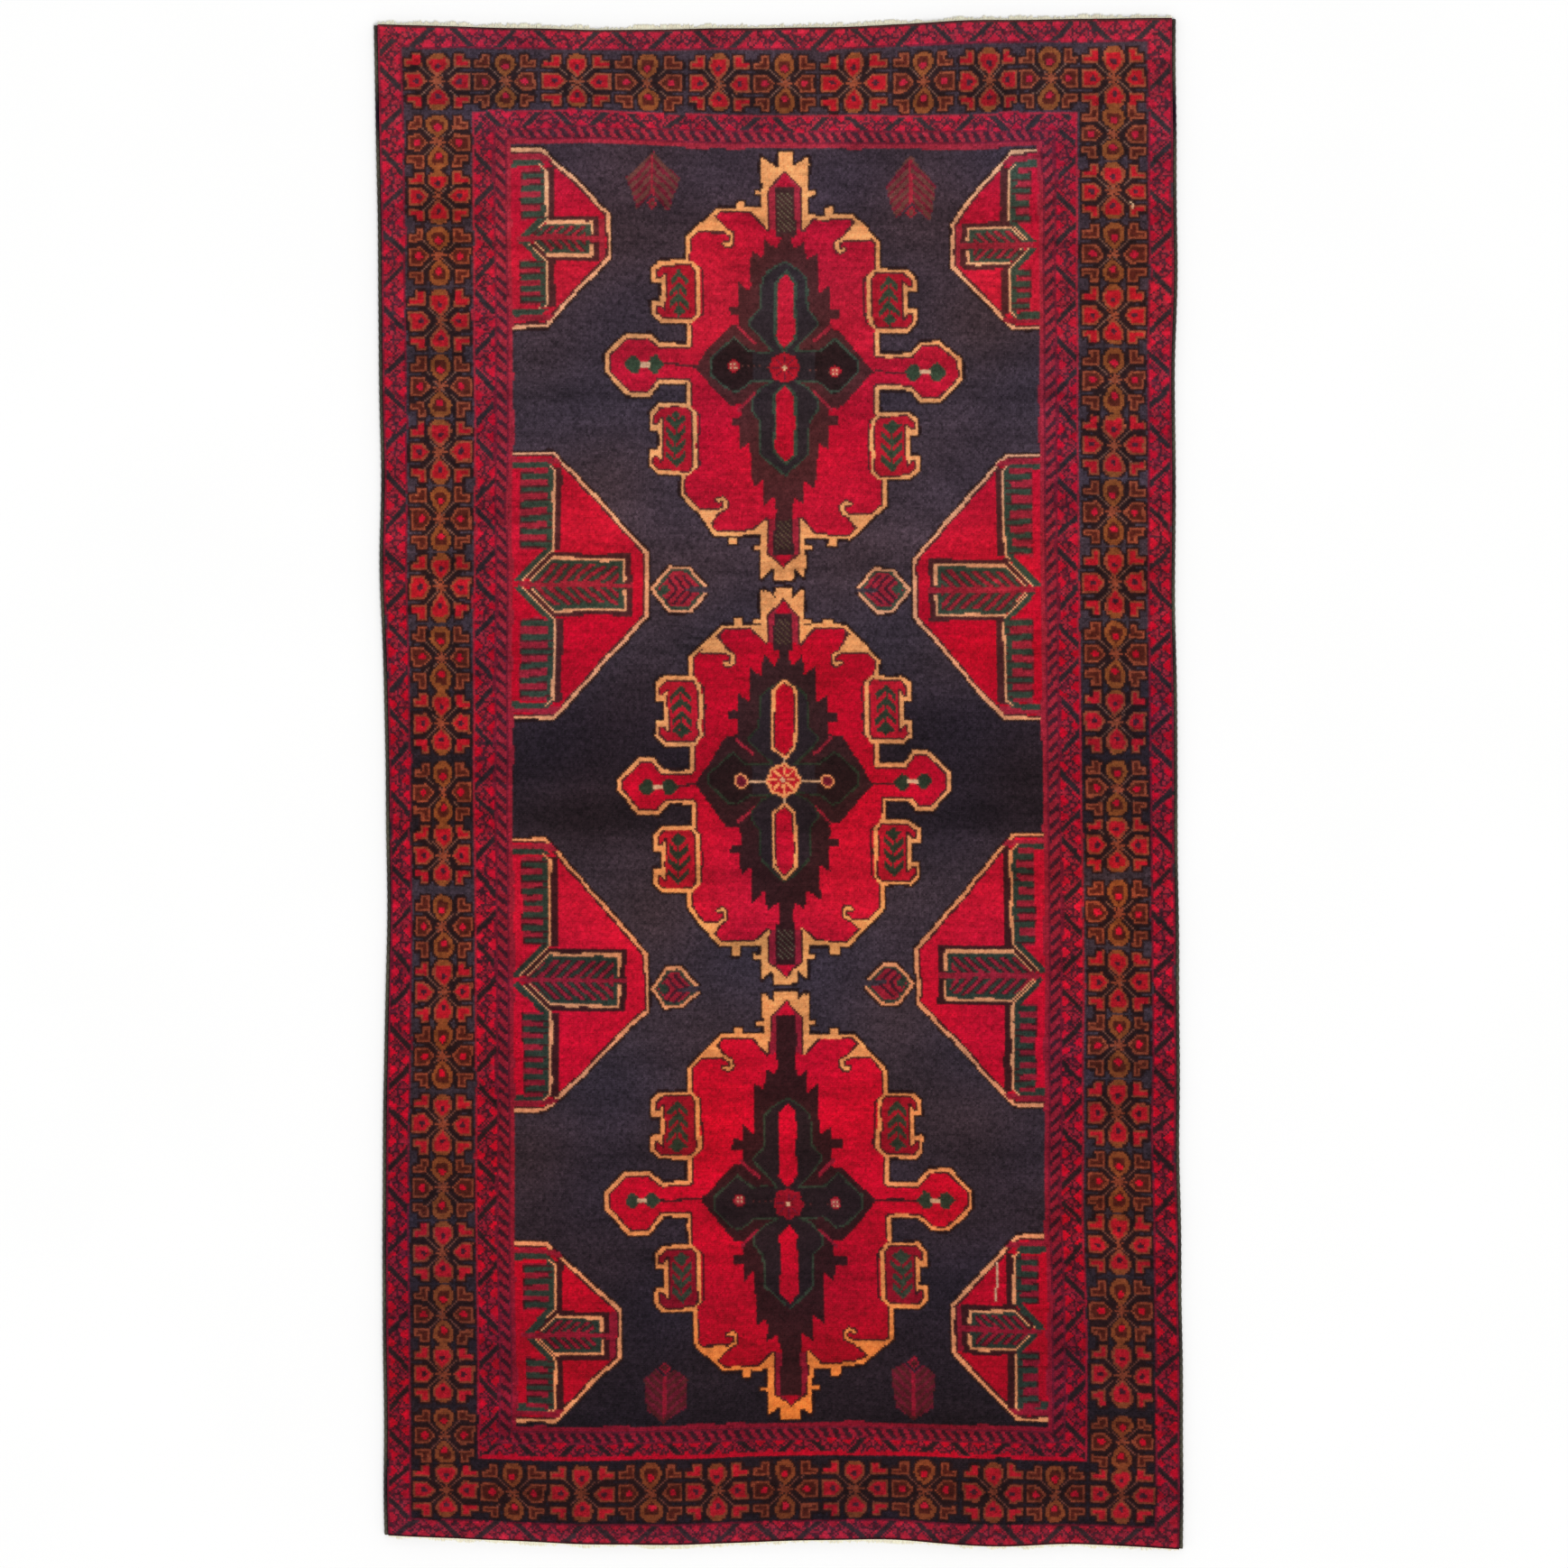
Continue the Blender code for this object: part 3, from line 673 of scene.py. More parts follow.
CHAIN = (
    Medallion(
        name="medallion_top",
        outline=[(2, 326), (2, 318), (-7, 324), (-7, 297), (-30, 297), (-46, 282), (-46, 270), (-60, 270),
                 (-64, 266), (-64, 259), (-60, 259), (-60, 248), (-64, 248), (-64, 242), (-60, 238),
                 (-46, 238), (-46, 227), (-60, 227), (-65, 232), (-77, 232), (-88, 221), (-88, 211),
                 (-77, 200), (-65, 200), (-60, 207), (-46, 207), (-46, 196), (-60, 196), (-65, 192),
                 (-65, 183), (-61, 183), (-61, 172), (-65, 172), (-65, 164), (-60, 160), (-49, 160),
                 (-49, 149), (-31, 129), (-8, 129), (-8, 107), (-1, 112), (-1, 106), (9, 106), (9, 112),
                 (14, 107), (13, 128), (38, 127), (57, 144), (57, 158), (69, 158), (73, 162), (73, 170),
                 (68, 170), (68, 181), (73, 181), (73, 188), (69, 192), (53, 192), (53, 204), (69, 204),
                 (75, 198), (85, 198), (96, 210), (96, 220), (85, 229), (74, 229), (69, 223), (53, 223),
                 (53, 234), (68, 234), (72, 238), (72, 245), (67, 245), (67, 257), (72, 257), (72, 263),
                 (68, 266), (54, 266), (54, 281), (40, 294), (16, 294), (17, 324), (8, 318), (8, 326)],
        towers=(
            Tower((-7, -3.8, 14, 17), 295, 308.5, (5.2, 317.5), 316, 324, (2, 9.2), 326, 286),
            Tower((-7.8, -4.8, 11.6, 14), 129.5, 119.3, (3.3, 111.2), 112.5, 106.5, (-0.5, 7.6), 105.5, 138.3),
        ),
        pendants=(
            Pendant(-38.7, -64.2, 238, 269.5, True), Pendant(-41, -65.3, 159.5, 196.3, False),
            Pendant(47, 72.5, 234, 266, True), Pendant(48.5, 73.5, 157.5, 192.3, False),
        ),
        hooks=(
            Hook((-31, 295), (-42.5, 285), (-24.5, 285)), Hook((40.5, 292), (50, 282), (34, 282)),
            Hook((-33, 132.5), (-41.5, 141), (-28.5, 141)), Hook((41.5, 130.5), (51, 139), (36.5, 139)),
        ),
        stubs=((-20, -16, 296, 300), (26.5, 30, 293, 298), (-24, -20, 124.5, 128), (27, 31, 123.5, 127.5)),
        cross=Cross(
            outline=[(2.7, 285), (2.7, 282), (0, 277), (-6, 282), (-6.5, 272), (-12.5, 276), (-12.5, 254.5),
                     (-19, 259.5), (-18.7, 247), (-23.5, 247), (-23.5, 242.5), (-18.7, 242.5), (-18.7, 237.5),
                     (-23, 237.5), (-42, 216), (-24, 196), (-18.7, 196), (-18.7, 190), (-23.5, 190),
                     (-23.5, 185.5), (-18.7, 185.5), (-19, 173), (-13.5, 177), (-12, 153.5), (-7.5, 157),
                     (-6.5, 145), (-1, 149), (0, 137), (7.5, 137), (9, 149), (13.5, 145), (15, 157), (20.5, 153.5),
                     (22, 177), (27, 173), (27, 185.5), (31.5, 185.5), (31.5, 190), (27, 190), (27, 194),
                     (32, 194), (51, 213), (32.5, 234.5), (28, 236), (28, 240.5), (33, 240.5), (33, 245),
                     (28, 245), (28, 258.5), (22, 254), (22, 274.5), (16, 271.5), (15.5, 280.5), (10, 277),
                     (7.5, 282), (7.5, 285)],
            centre=(4.3, 215.3), stretch=1.0, ground=Yarn.BROWN, heart=Yarn.SLATE, wing=Yarn.BLACK, line=Yarn.GREEN,
            lozenges=([(5, 264.5), (0.5, 259), (0.3, 231), (4.5, 225), (9.3, 230), (9.5, 259)],
                      [(4.5, 205.5), (0, 200), (-0.3, 172), (4.5, 166.5), (9.3, 172), (9.3, 200)]),
            rim=Yarn.GREEN, side_flowers=((-21.8, 216), (30.3, 213.3)),
        ),
        buds=(ArmBuds((-73.5, 216), (-62.5, 216.3), 4.6, (-41, 216)),
              ArmBuds((83, 213.3), (70.8, 213.3), 4.8, (50, 213))),
    ),
    Medallion(
        name="medallion_middle",
        outline=[(1, 102), (1, 96), (-6, 101), (-8, 83), (-28, 83), (-45, 66), (-45, 56), (-59, 56),
                 (-62, 53), (-62, 44), (-57, 44), (-57, 32), (-62, 32), (-62, 26), (-57, 21), (-45, 21),
                 (-45, 8), (-58, 8), (-63, 14), (-71, 14), (-82, 3), (-82, -2), (-72, -14), (-61, -15),
                 (-56, -9), (-44, -9), (-44, -21), (-60, -21), (-63, -24), (-63, -31), (-59, -31), (-59, -42),
                 (-64, -42), (-64, -48), (-60, -54), (-47, -54), (-47, -62), (-41, -70), (-31, -83),
                 (-9, -83), (-9, -100), (-4, -95), (-3, -102), (8, -102), (9, -95), (14, -100), (14, -83),
                 (36, -83), (44, -75), (53, -64), (54, -50), (68, -51), (72, -47), (72, -40), (67, -40),
                 (67, -28), (72, -28), (72, -22), (68, -18), (55, -18), (55, -8), (67, -8), (71, -13),
                 (79, -13), (89, -2), (89, 8), (78, 18), (69, 18), (64, 11), (52, 11), (52, 22), (64, 23),
                 (68, 27), (68, 34), (64, 34), (64, 45), (69, 45), (69, 53), (65, 56), (52, 56), (52, 65),
                 (40, 79), (36, 83), (13, 83), (13, 101), (7, 96), (7, 102)],
        towers=(
            Tower((-8, -5.3, 12, 14), 82, 88, (3.5, 97), 94.5, 100.7, (-0.3, 7.6), 101.8, 72.5),
            Tower((-9, -5.8, 12, 14.8), -83, -91.5, (3.3, -99.3), -94.5, -100, (-3, 8.7), -102, -74),
        ),
        pendants=(
            Pendant(-38.5, -62.3, 20.8, 56.2, True), Pendant(-40.5, -64, -54.3, -20.8, False),
            Pendant(45, 69, 21.5, 56.2, True), Pendant(48.5, 72.3, -50.8, -17.8, False),
        ),
        hooks=(
            Hook((-30.5, 79), (-39, 68.7), (-25.5, 68.7)), Hook((37, 79), (46.5, 68.7), (31.8, 68.7)),
            Hook((-34, -79), (-41.5, -70.3), (-29.5, -70.3)), Hook((42.5, -78), (50.5, -69.3), (36, -69.3)),
        ),
        stubs=((-22, -18, 82, 86.4), (24, 28.5, 82, 85.6), (-24.5, -20, -88, -83), (26.3, 31, -87, -82.5)),
        cross=Cross(
            outline=[(1, 71), (1, 66), (-1.5, 62), (-7, 67.5), (-8, 57), (-14, 61), (-14, 43), (-20, 47.5),
                     (-20, 38.5), (-24.5, 38.5), (-24.5, 34), (-20, 34), (-20, 27), (-26, 26), (-42, 1),
                     (-26, -21.5), (-20, -21.5), (-19.5, -30), (-24.5, -30), (-24.5, -34), (-19.5, -34),
                     (-19, -46), (-14, -41.5), (-14, -60), (-8, -54), (-6, -64.5), (0, -60), (0, -73), (7, -73),
                     (8.5, -60), (13.5, -64.5), (14.5, -53.5), (21, -59), (21, -40.5), (26.5, -44.5),
                     (26.5, -32), (31.5, -32), (31.5, -28), (26.5, -28), (27, -19.5), (32, -19.5), (49, 1),
                     (33, 26), (26.5, 26), (26.5, 33), (31, 33), (31, 38), (26.5, 38), (26.5, 47), (20, 43),
                     (20, 61.5), (13.5, 57.5), (13, 68), (7.5, 62), (6, 66), (6, 71)],
            centre=(3.2, 2.6), stretch=0.93, ground=Yarn.COFFEE, heart=Yarn.SLATE, wing=Yarn.BLACK, line=Yarn.BUD,
            lozenges=([(3.5, 55), (-2, 49.5), (-3.3, 36), (-3, 19.5), (3.5, 13.3), (9.3, 19.5), (10.2, 38), (9.3, 50)],
                      [(3.5, -8.8), (-2.8, -14), (-2.8, -42), (3.5, -48.5), (9.8, -42), (9.3, -14)]),
            rim=Yarn.GOLD, side_flowers=((-19, 2.2), (25, 2.2)), gold_rosette=True,
        ),
        buds=(ArmBuds((-66.5, -0.8), (-56, -0.3), 4.4, (-41, 1)), ArmBuds((74.5, 2.8), (64, 2), 4.4, (48, 1))),
    ),
    Medallion(
        name="medallion_bottom",
        outline=[(-2, -106), (-2, -113), (-8, -107), (-8, -128), (-30, -128), (-47, -145), (-47, -157),
                 (-62, -157), (-66, -161), (-66, -170), (-61, -170), (-61, -179), (-65, -179), (-65, -187),
                 (-61, -191), (-47, -191), (-47, -203), (-60, -203), (-67, -197), (-79, -197), (-90, -208),
                 (-90, -217), (-77, -230), (-67, -230), (-60, -221), (-47, -221), (-47, -236), (-60, -236),
                 (-64, -240), (-64, -247), (-60, -247), (-60, -259), (-64, -259), (-64, -266), (-61, -269),
                 (-45, -269), (-45, -286), (-30, -301), (-7, -301), (-7, -324), (-1, -320), (-1, -326),
                 (9, -326), (9, -320), (14, -324), (15, -301), (41, -299), (57, -285), (57, -269), (71, -269),
                 (75, -265), (75, -258), (70, -258), (70, -247), (75, -247), (75, -240), (71, -235),
                 (57, -235), (57, -223), (71, -223), (77, -229), (86, -229), (98, -217), (98, -208),
                 (87, -197), (76, -197), (70, -205), (56, -205), (56, -192), (70, -192), (73, -188),
                 (73, -180), (68, -180), (68, -169), (73, -169), (73, -163), (68, -158), (55, -158),
                 (55, -146), (38, -128), (13, -128), (13, -107), (8, -112), (8, -106)],
        towers=(
            Tower((-8.6, -5.5, 12, 14.8), -129.5, -119.5, (3, -110.5), -113, -107.5, (-2.7, 8.7), -106, -138.5, False),
            Tower((-7, -3.9, 13, 15.3), -300, -314, (4.5, -320.5), -319.2, -324, (-0.5, 9.2), -325.2, -291.5, False),
        ),
        pendants=(
            Pendant(-41, -65.8, -191.2, -157, True), Pendant(-40.5, -64.3, -269.2, -236, False),
            Pendant(49.5, 73.3, -192, -158, True), Pendant(51, 75, -269.2, -235, False),
        ),
        hooks=(
            Hook((-31.5, -131), (-40.5, -139), (-27, -139)), Hook((39.5, -131), (48.5, -139.8), (34.5, -139.8)),
            Hook((-33, -298), (-43, -288), (-26, -288)), Hook((43.5, -297), (51.5, -286.7), (35.5, -286.7)),
        ),
        stubs=((-23.3, -19, -129, -124.8), (25.5, 30, -129.5, -125.3), (-20.3, -16.3, -305, -300),
               (25.5, 29.7, -304.3, -299)),
        cross=Cross(
            outline=[(-0.5, -139), (-1, -146), (-3, -150), (-7, -146), (-8, -157), (-13, -153), (-13, -180),
                     (-19, -174), (-18.7, -182), (-24, -182), (-24, -188), (-18.7, -188), (-18.7, -195),
                     (-24, -195), (-41, -212.5), (-24, -234), (-19, -234), (-19, -242), (-24, -242),
                     (-24, -247), (-19, -247), (-19, -256), (-13.5, -250), (-13, -278), (-7.5, -274.5),
                     (-7, -286), (-2, -283), (0, -291), (9, -291), (10, -282.5), (15.5, -286.5), (16, -273),
                     (22, -278), (22, -251), (27, -256), (27, -247), (33, -247), (33, -242), (27, -242),
                     (27, -235), (32, -235), (50, -214), (32, -197), (27, -197), (27, -187), (33, -187),
                     (33, -182), (27, -182), (27, -175), (20.5, -180), (20, -153), (14.5, -158), (14, -146),
                     (9.5, -150), (8, -146), (7.5, -139)],
            centre=(4.3, -215.3), stretch=0.98, ground=Yarn.COFFEE, heart=Yarn.SLATE, wing=Yarn.SLATE, line=Yarn.BUD,
            lozenges=([(4, -164), (-0.3, -169), (-0.3, -201), (4.5, -207), (9, -201), (8.5, -169)],
                      [(4, -226.5), (-0.7, -232), (-0.7, -262), (4, -268), (8.6, -262), (8.5, -232)]),
            rim=Yarn.SLATE, side_flowers=((-20, -213.5), (28.5, -215.5)),
        ),
        buds=(ArmBuds((-75, -212.8), (-65.5, -212.6), 4.0, (-41, -212.5)),
              ArmBuds((85, -213), (75, -213.2), 4.4, (49, -214))),
    ),
)


# ---- side motifs, buds and trees


@dataclass(frozen=True)
class SideMotif:
    """A half medallion hung on the border, with two combs and a feathered arrow.

    Places are given as distances a from the rug's middle, the same on both sides.

    Attributes:
        name: The zone's name.
        side: -1 on the left, 1 on the right.
        outline: The gold edge.
        comb: a of the combs' gold line.
        upper: v of the upper comb's ends.
        lower: v of the lower comb's ends.
        arrow: a of the arrow's blunt end.
        box: v of the arrow's upper and lower edges.
        teeth: Teeth on each comb.
        small: Whether it is one of the four corner motifs.
    """

    name: str
    side: int
    outline: list[Point]
    comb: float
    upper: Point
    lower: Point
    arrow: float
    box: Point
    teeth: int
    small: bool

    def at(self, points: Iterable[Point]) -> list[Point]:
        """Points (a, v) on this motif's own side of the chart."""
        return [(self.side * a, v) for a, v in points]

    def tie(self, chart: LoomChart) -> None:
        """Ties the motif from its outline inwards."""
        top, low = self.outline[0][1], self.outline[-1][1]
        axis = (self.box[0] + self.box[1]) / 2
        open_edge = [(self.side * POLE[0], v) if abs(u) == FIELD[0] else (u, v) for u, v in self.outline]
        chart.bands(open_edge, [(1.6, Yarn.PEACH), (2.7, Yarn.BROWN), (FULL, Yarn.RED)], Yarn.BLACK)
        rose = ((140, 3.0), (self.comb - 1, 3.0), (self.comb - 4.5, 6.6), (140, 6.4))
        green = ((140, 5.6), (self.comb + 3.5, 5.6), (self.comb - 0.5, 8.8), (140, 8.8))
        for edge, sign in ((top, -1), (low, 1)):
            for band, yarn in ((rose, Yarn.ROSE), (green, Yarn.GREEN)):
                chart.fill(self.at([(a, edge + sign * b) for a, b in band]), yarn)
        self.tie_combs(chart, axis)
        self.tie_arrow(chart, axis)

    def bar(self, chart: LoomChart, reaches: Point, heights: Point, yarn: Yarn,
            over: Sequence[Yarn] | None = None) -> None:
        """Ties a bar between two distances from the rug's middle and two heights."""
        chart.fill(self.at(box(*reaches, *heights)), yarn, over)

    def tie_combs(self, chart: LoomChart, axis: float) -> None:
        """Ties the two combs: a spine with teeth towards the border, edged in gold and then in brown."""
        c = self.comb
        for v0, v1 in (self.upper, self.lower):
            away = 1.0 if v0 > axis else -1.0
            far, near = (v0, v1) if away > 0 else (v1, v0)
            self.bar(chart, (c - 4.2, c), (far + away * 1.5, near), Yarn.BROWN)
            self.bar(chart, (c + 0.5, 131.5), (far + away, near), Yarn.ROSE)
            self.bar(chart, (c + 0.5, c + 3.6), (far + away * 1.5, near - away * 1.5), Yarn.GREEN)
            pitch = (abs(far - near) + 1.0) / self.teeth
            for i in range(self.teeth):
                v = near + away * (pitch * (i + 0.42))
                self.bar(chart, (c + 1, 131.6), (v - 1.9, v + 1.9), Yarn.BROWN)
                self.bar(chart, (c + 1, 130.8), (v - 1.35, v + 1.35), Yarn.GREEN)
            chart.stroke(self.at([(c, near), (c, far)]), 1.3, Yarn.PEACH)
            chart.stroke(self.at([(c, far), (c + 3.4, far + away * 2.6)]), 1.2, Yarn.PEACH, dash=1)
            reached = c + abs(near - axis)
            chart.fill(self.at([(c + 0.5, near), (c + 3.8, near + away * 0.8), (reached + 3, axis + away * 1.6),
                                (reached - 1.5, axis + away * 1.0)]), Yarn.GREEN)

    def tie_arrow(self, chart: LoomChart, axis: float) -> None:
        """Ties the feathered arrow that lies across the motif."""
        c, (high, low), blunt = self.comb, self.box, self.arrow
        frame_wide = 3.0
        self.bar(chart, (blunt - frame_wide - 0.8, c + 0.5), (low - frame_wide, high + frame_wide), Yarn.BROWN)
        if self.small:
            self.bar(chart, (blunt - 7.2, blunt - frame_wide - 0.8), (low - 2, high + 2), Yarn.ROSE, [Yarn.RED])
        tip = (c + (high - axis) + 1, axis)
        chart.fill(self.at([(blunt, high), (c, high), tip, (c, low), (blunt, low)]), Yarn.GREEN)
        inner, pitch = (2.2, 5.2) if self.small else (2.9, 6.1)
        feather = self.at([(blunt + 3, high - inner), (c + 1, high - inner), tip, (c + 1, low + inner),
                           (blunt + 3, low + inner)])
        chart.stripes(feather, lambda u, v: np.abs(u) + 1.05 * np.abs(v - axis), pitch, 0.66, Yarn.BROWN)
        chart.stripes(feather, lambda u, v: np.abs(u) + 1.05 * np.abs(v - axis) - 0.8, pitch, 0.38, Yarn.ROSE)
        self.bar(chart, (blunt - frame_wide - 0.9, 133), (axis - 1.3, axis + 1.3), Yarn.ROSE)
        for edge, away in ((high, 1.0), (low, -1.0)):
            chart.stroke(self.at([(c, edge), (blunt, edge)]), 1.35, Yarn.PEACH)
            chart.stroke(self.at([(blunt, edge), (blunt, axis + away * 2.8)]), 1.35, Yarn.PEACH)
            comb_end = self.upper[1] if away > 0 else self.lower[0]
            outer = [(c, comb_end), (c + abs(comb_end - axis) - 2.2, axis + away * 2.4)]
            close = [(c + 0.3, edge), (c + abs(edge - axis) - 2.2, axis + away * 2.4)]
            chart.fill(self.at([*outer, *close[::-1]]), Yarn.BROWN)
            chart.stroke(self.at(outer), 1.1, Yarn.PEACH, dash=1)
            chart.stroke(self.at(close), 1.1, Yarn.PEACH, dash=1)


SIDE_MOTIFS = (
    SideMotif("left_top_corner_motif", -1, [(-136, 326), (-119, 326), (-85, 293), (-85, 271), (-118, 234), (-136, 234)],
              117.7, (315, 290.5), (269, 246), 95, (288.6, 271.6), 4, True),
    SideMotif("left_upper_motif", -1, [(-136, 171), (-115, 171), (-66, 120), (-66, 87), (-114, 34), (-136, 34)],
              114.7, (161, 120.5), (85.5, 44.5), 78, (116.2, 89.6), 6, False),
    SideMotif("left_lower_motif", -1, [(-136, -27), (-119, -27), (-67, -86), (-67, -115), (-119, -167), (-136, -167)],
              117.2, (-38, -82), (-116.5, -158), 82, (-86.5, -112.5), 7, False),
    SideMotif("left_bottom_corner_motif", -1,
              [(-136, -234), (-119, -234), (-82, -269), (-82, -293), (-117, -326), (-136, -326)],
              116, (-245, -269), (-293, -318), 92, (-272, -291), 4, True),
    SideMotif("right_top_corner_motif", 1, [(136, 326), (121, 326), (90, 290), (90, 267), (122, 234), (136, 234)],
              120.5, (316, 289), (266, 244), 99, (287, 269), 4, True),
    SideMotif("right_upper_motif", 1, [(136, 171), (118, 171), (70, 117), (70, 87), (116, 34), (136, 34)],
              117.2, (162, 118), (87, 44), 82, (113.8, 88), 6, False),
    SideMotif("right_lower_motif", 1, [(136, -24), (120, -24), (70, -83), (70, -112), (120, -164), (136, -164)],
              119, (-33, -81), (-111, -155.5), 84.5, (-84.5, -109.5), 7, False),
    SideMotif("right_bottom_corner_motif", 1,
              [(136, -230), (121, -230), (87, -267), (87, -292), (120, -325), (136, -325)],
              119.3, (-241, -266), (-289.5, -318), 96, (-269.5, -289), 4, True),
)


@dataclass(frozen=True)
class Bud:
    """A small gold-edged bud on a large side motif's point."""

    name: str
    outline: list[Point]

    def tie(self, chart: LoomChart) -> None:
        """Ties the bud, its green lining and its pale veins, with the open tip towards the rug's middle."""
        us = [p[0] for p in self.outline]
        side = -1 if us[0] < 0 else 1
        axis = self.outline[0][1]
        tip_u, root_u = (max(us), min(us)) if side < 0 else (min(us), max(us))
        chart.bands(self.outline, [(1.5, Yarn.PEACH), (3.1, Yarn.GREEN), (FULL, Yarn.ROSE)], Yarn.BLACK)
        inner = [(tip_u + side * 5, axis + 0.1), (tip_u + side * 10, axis + 7.5), (root_u - side * 9, axis + 7.5),
                 (root_u - side * 5, axis), (root_u - side * 9, axis - 7.5), (tip_u + side * 10, axis - 7.5)]
        chart.stripes(inner, lambda u, v: np.abs(u) - 0.9 * np.abs(v - axis), 4.6, 0.42, Yarn.PLUM)
        chart.fill([(tip_u - side * 2, axis + 1.6), (tip_u + side * 11, axis + 0.8), (tip_u + side * 11, axis - 0.8),
                    (tip_u - side * 2, axis - 1.6)], Yarn.NAVY)
        chart.disc((root_u - side * 7, axis), 2.3, Yarn.GREEN)


BUDS = (
    Bud("left_upper_bud", [(-65, 101), (-56, 113), (-45, 113), (-36, 103), (-36, 99), (-44, 89), (-56, 89)]),
    Bud("left_lower_bud", [(-66, -104), (-58, -93), (-50, -93), (-41, -103), (-41, -106), (-50, -114), (-59, -114)]),
    Bud("right_upper_bud", [(69, 101), (60, 112), (50, 112), (41, 103), (41, 100), (50, 89), (60, 89)]),
    Bud("right_lower_bud", [(69, -102), (60, -92), (53, -92), (44, -101), (44, -105), (52, -113), (61, -113)]),
)


@dataclass(frozen=True)
class Tree:
    """A plain tree beside an end of the chain, striped in chevrons."""

    name: str
    outline: list[Point]
    stem: float
    points_up: bool

    def tie(self, chart: LoomChart) -> None:
        """Ties the tree: rose and moss chevrons, with a brighter stem."""
        top, low = max(p[1] for p in self.outline), min(p[1] for p in self.outline)
        sign = 1 if self.points_up else -1
        chart.fill(self.outline, Yarn.WINE)
        chart.stripes(self.outline, lambda u, v: v + sign * np.abs(u - self.stem), 5.2, 0.55, Yarn.MOSS)
        chart.stroke([(self.stem, top - 3), (self.stem, low + 3)], 1.7, Yarn.ROSE)
        foot, tip = (low, 1) if self.points_up else (top, -1)
        notch = [(self.stem - 9, foot - tip), (self.stem, foot + 8 * tip), (self.stem + 9, foot - tip)]
        chart.fill(notch, Yarn.NAVY)
        chart.bands([(self.stem, foot + 6.5 * tip), (self.stem + 3, foot + 3 * tip), (self.stem, foot - 0.5 * tip),
                     (self.stem - 3, foot + 3 * tip)], [(1.1, Yarn.ROSE), (FULL, Yarn.MOSS)])


TREES = (
    Tree("left_top_tree", [(-63, 325), (-49, 312), (-53, 296), (-72, 296), (-77, 312)], -63.5, True),
    Tree("left_bottom_tree", [(-60, -295), (-48, -304), (-50, -320), (-60, -327), (-69, -320), (-71, -304)], -60,
         False),
    Tree("right_top_tree", [(70, 325), (83, 309), (80, 292), (62, 292), (57, 309)], 70, True),
    Tree("right_bottom_tree", [(67, -294), (78, -302), (77, -320), (67, -327), (58, -320), (56, -302)], 67, False),
)


# ---- borders


@dataclass(frozen=True)
class FlowerTile:
    """One flower of the main border: four petals on a diagonal cross, with an L at each corner.

    Attributes:
        u: Its centre across.
        v: Its centre along.
        wide: Its width against the pattern's own.
        tall: Its height against the pattern's own.
        red: Whether it is a red one; the others are brown.
    """

    u: float
    v: float
    wide: float
    tall: float
    red: bool

    def at(self, points: Iterable[Point]) -> list[Point]:
        """Points from the tile's centre, on the chart."""
        return [(self.u + a * self.wide, self.v + b * self.tall) for a, b in points]

    def shape(self, chart: LoomChart, points: Iterable[Point], edge: float, rim: Yarn, inner: Yarn) -> None:
        """Ties one petal or L with its rim and a dark halo on the ground."""
        chart.bands(self.at(points), [(edge, rim), (FULL, inner)], Yarn.BLACK, 1.2)

    def tie(self, chart: LoomChart) -> None:
        """Ties the diagonals, the Ls, the side petals and then the two main petals."""
        rim, edge = Yarn.RUST, 1.05
        inner, heart_yarn = (Yarn.MADDER, Yarn.PLUM) if self.red else (Yarn.UMBER, Yarn.RED)
        for su in (-1, 1):
            for sv in (-1, 1):
                run = self.at([(su * 0.8, sv * 0.8), (su * 8.2, sv * 8.2)])
                chart.stroke(run, 6.0, Yarn.BLACK, over=[Yarn.NAVY])
                chart.stroke(run, 1.3, Yarn.MIST, dash=1)
                ell = [(7.4, 8.0), (15.2, 8.0), (15.2, 11.8), (11.6, 11.8), (11.6, 15.2), (7.4, 15.2)]
                self.shape(chart, [(su * a, sv * b) for a, b in ell], 0.8 if self.red else edge, rim, inner)
        for su in (-1, 1):
            petal = [(15.4, 4.8), (8.6, 4.8), (4.8, 0), (8.6, -4.8), (15.4, -4.8)]
            self.shape(chart, [(su * a, b) for a, b in petal], edge, rim, inner)
            chart.disc(self.at([(su * 10.2, 0)])[0], 1.5 if self.red else 1.7, heart_yarn)
        for sv in (-1, 1):
            half = [(0, 2.0), (4.0 / self.wide, 6.2), (5.3 / self.wide, 9.2), (5.0 / self.wide, 12.6), (3.3, 15.0)]
            petal = half + [(-a, b) for a, b in half[:0:-1]]
            self.shape(chart, [(a, sv * b) for a, b in petal], 1.25 if self.red else 2.0,
                       rim if self.red else Yarn.AMBER, inner)
            cap = [(-3.6, 13.2), (3.6, 13.2), (2.2, 16.0), (-2.2, 16.0)]
            chart.fill(self.at([(a, sv * b) for a, b in cap]), Yarn.AMBER)
            chart.disc(self.at([(0, sv * 8.4)])[0], 1.4 if self.red else 1.7, heart_yarn)
        for a, b in ((2.2, 2.2), (2.2, -2.2), (3.4, 0), (0, 2.6)):
            chart.stroke(self.at([(-a, -b), (a, b)]), 0.9, rim)


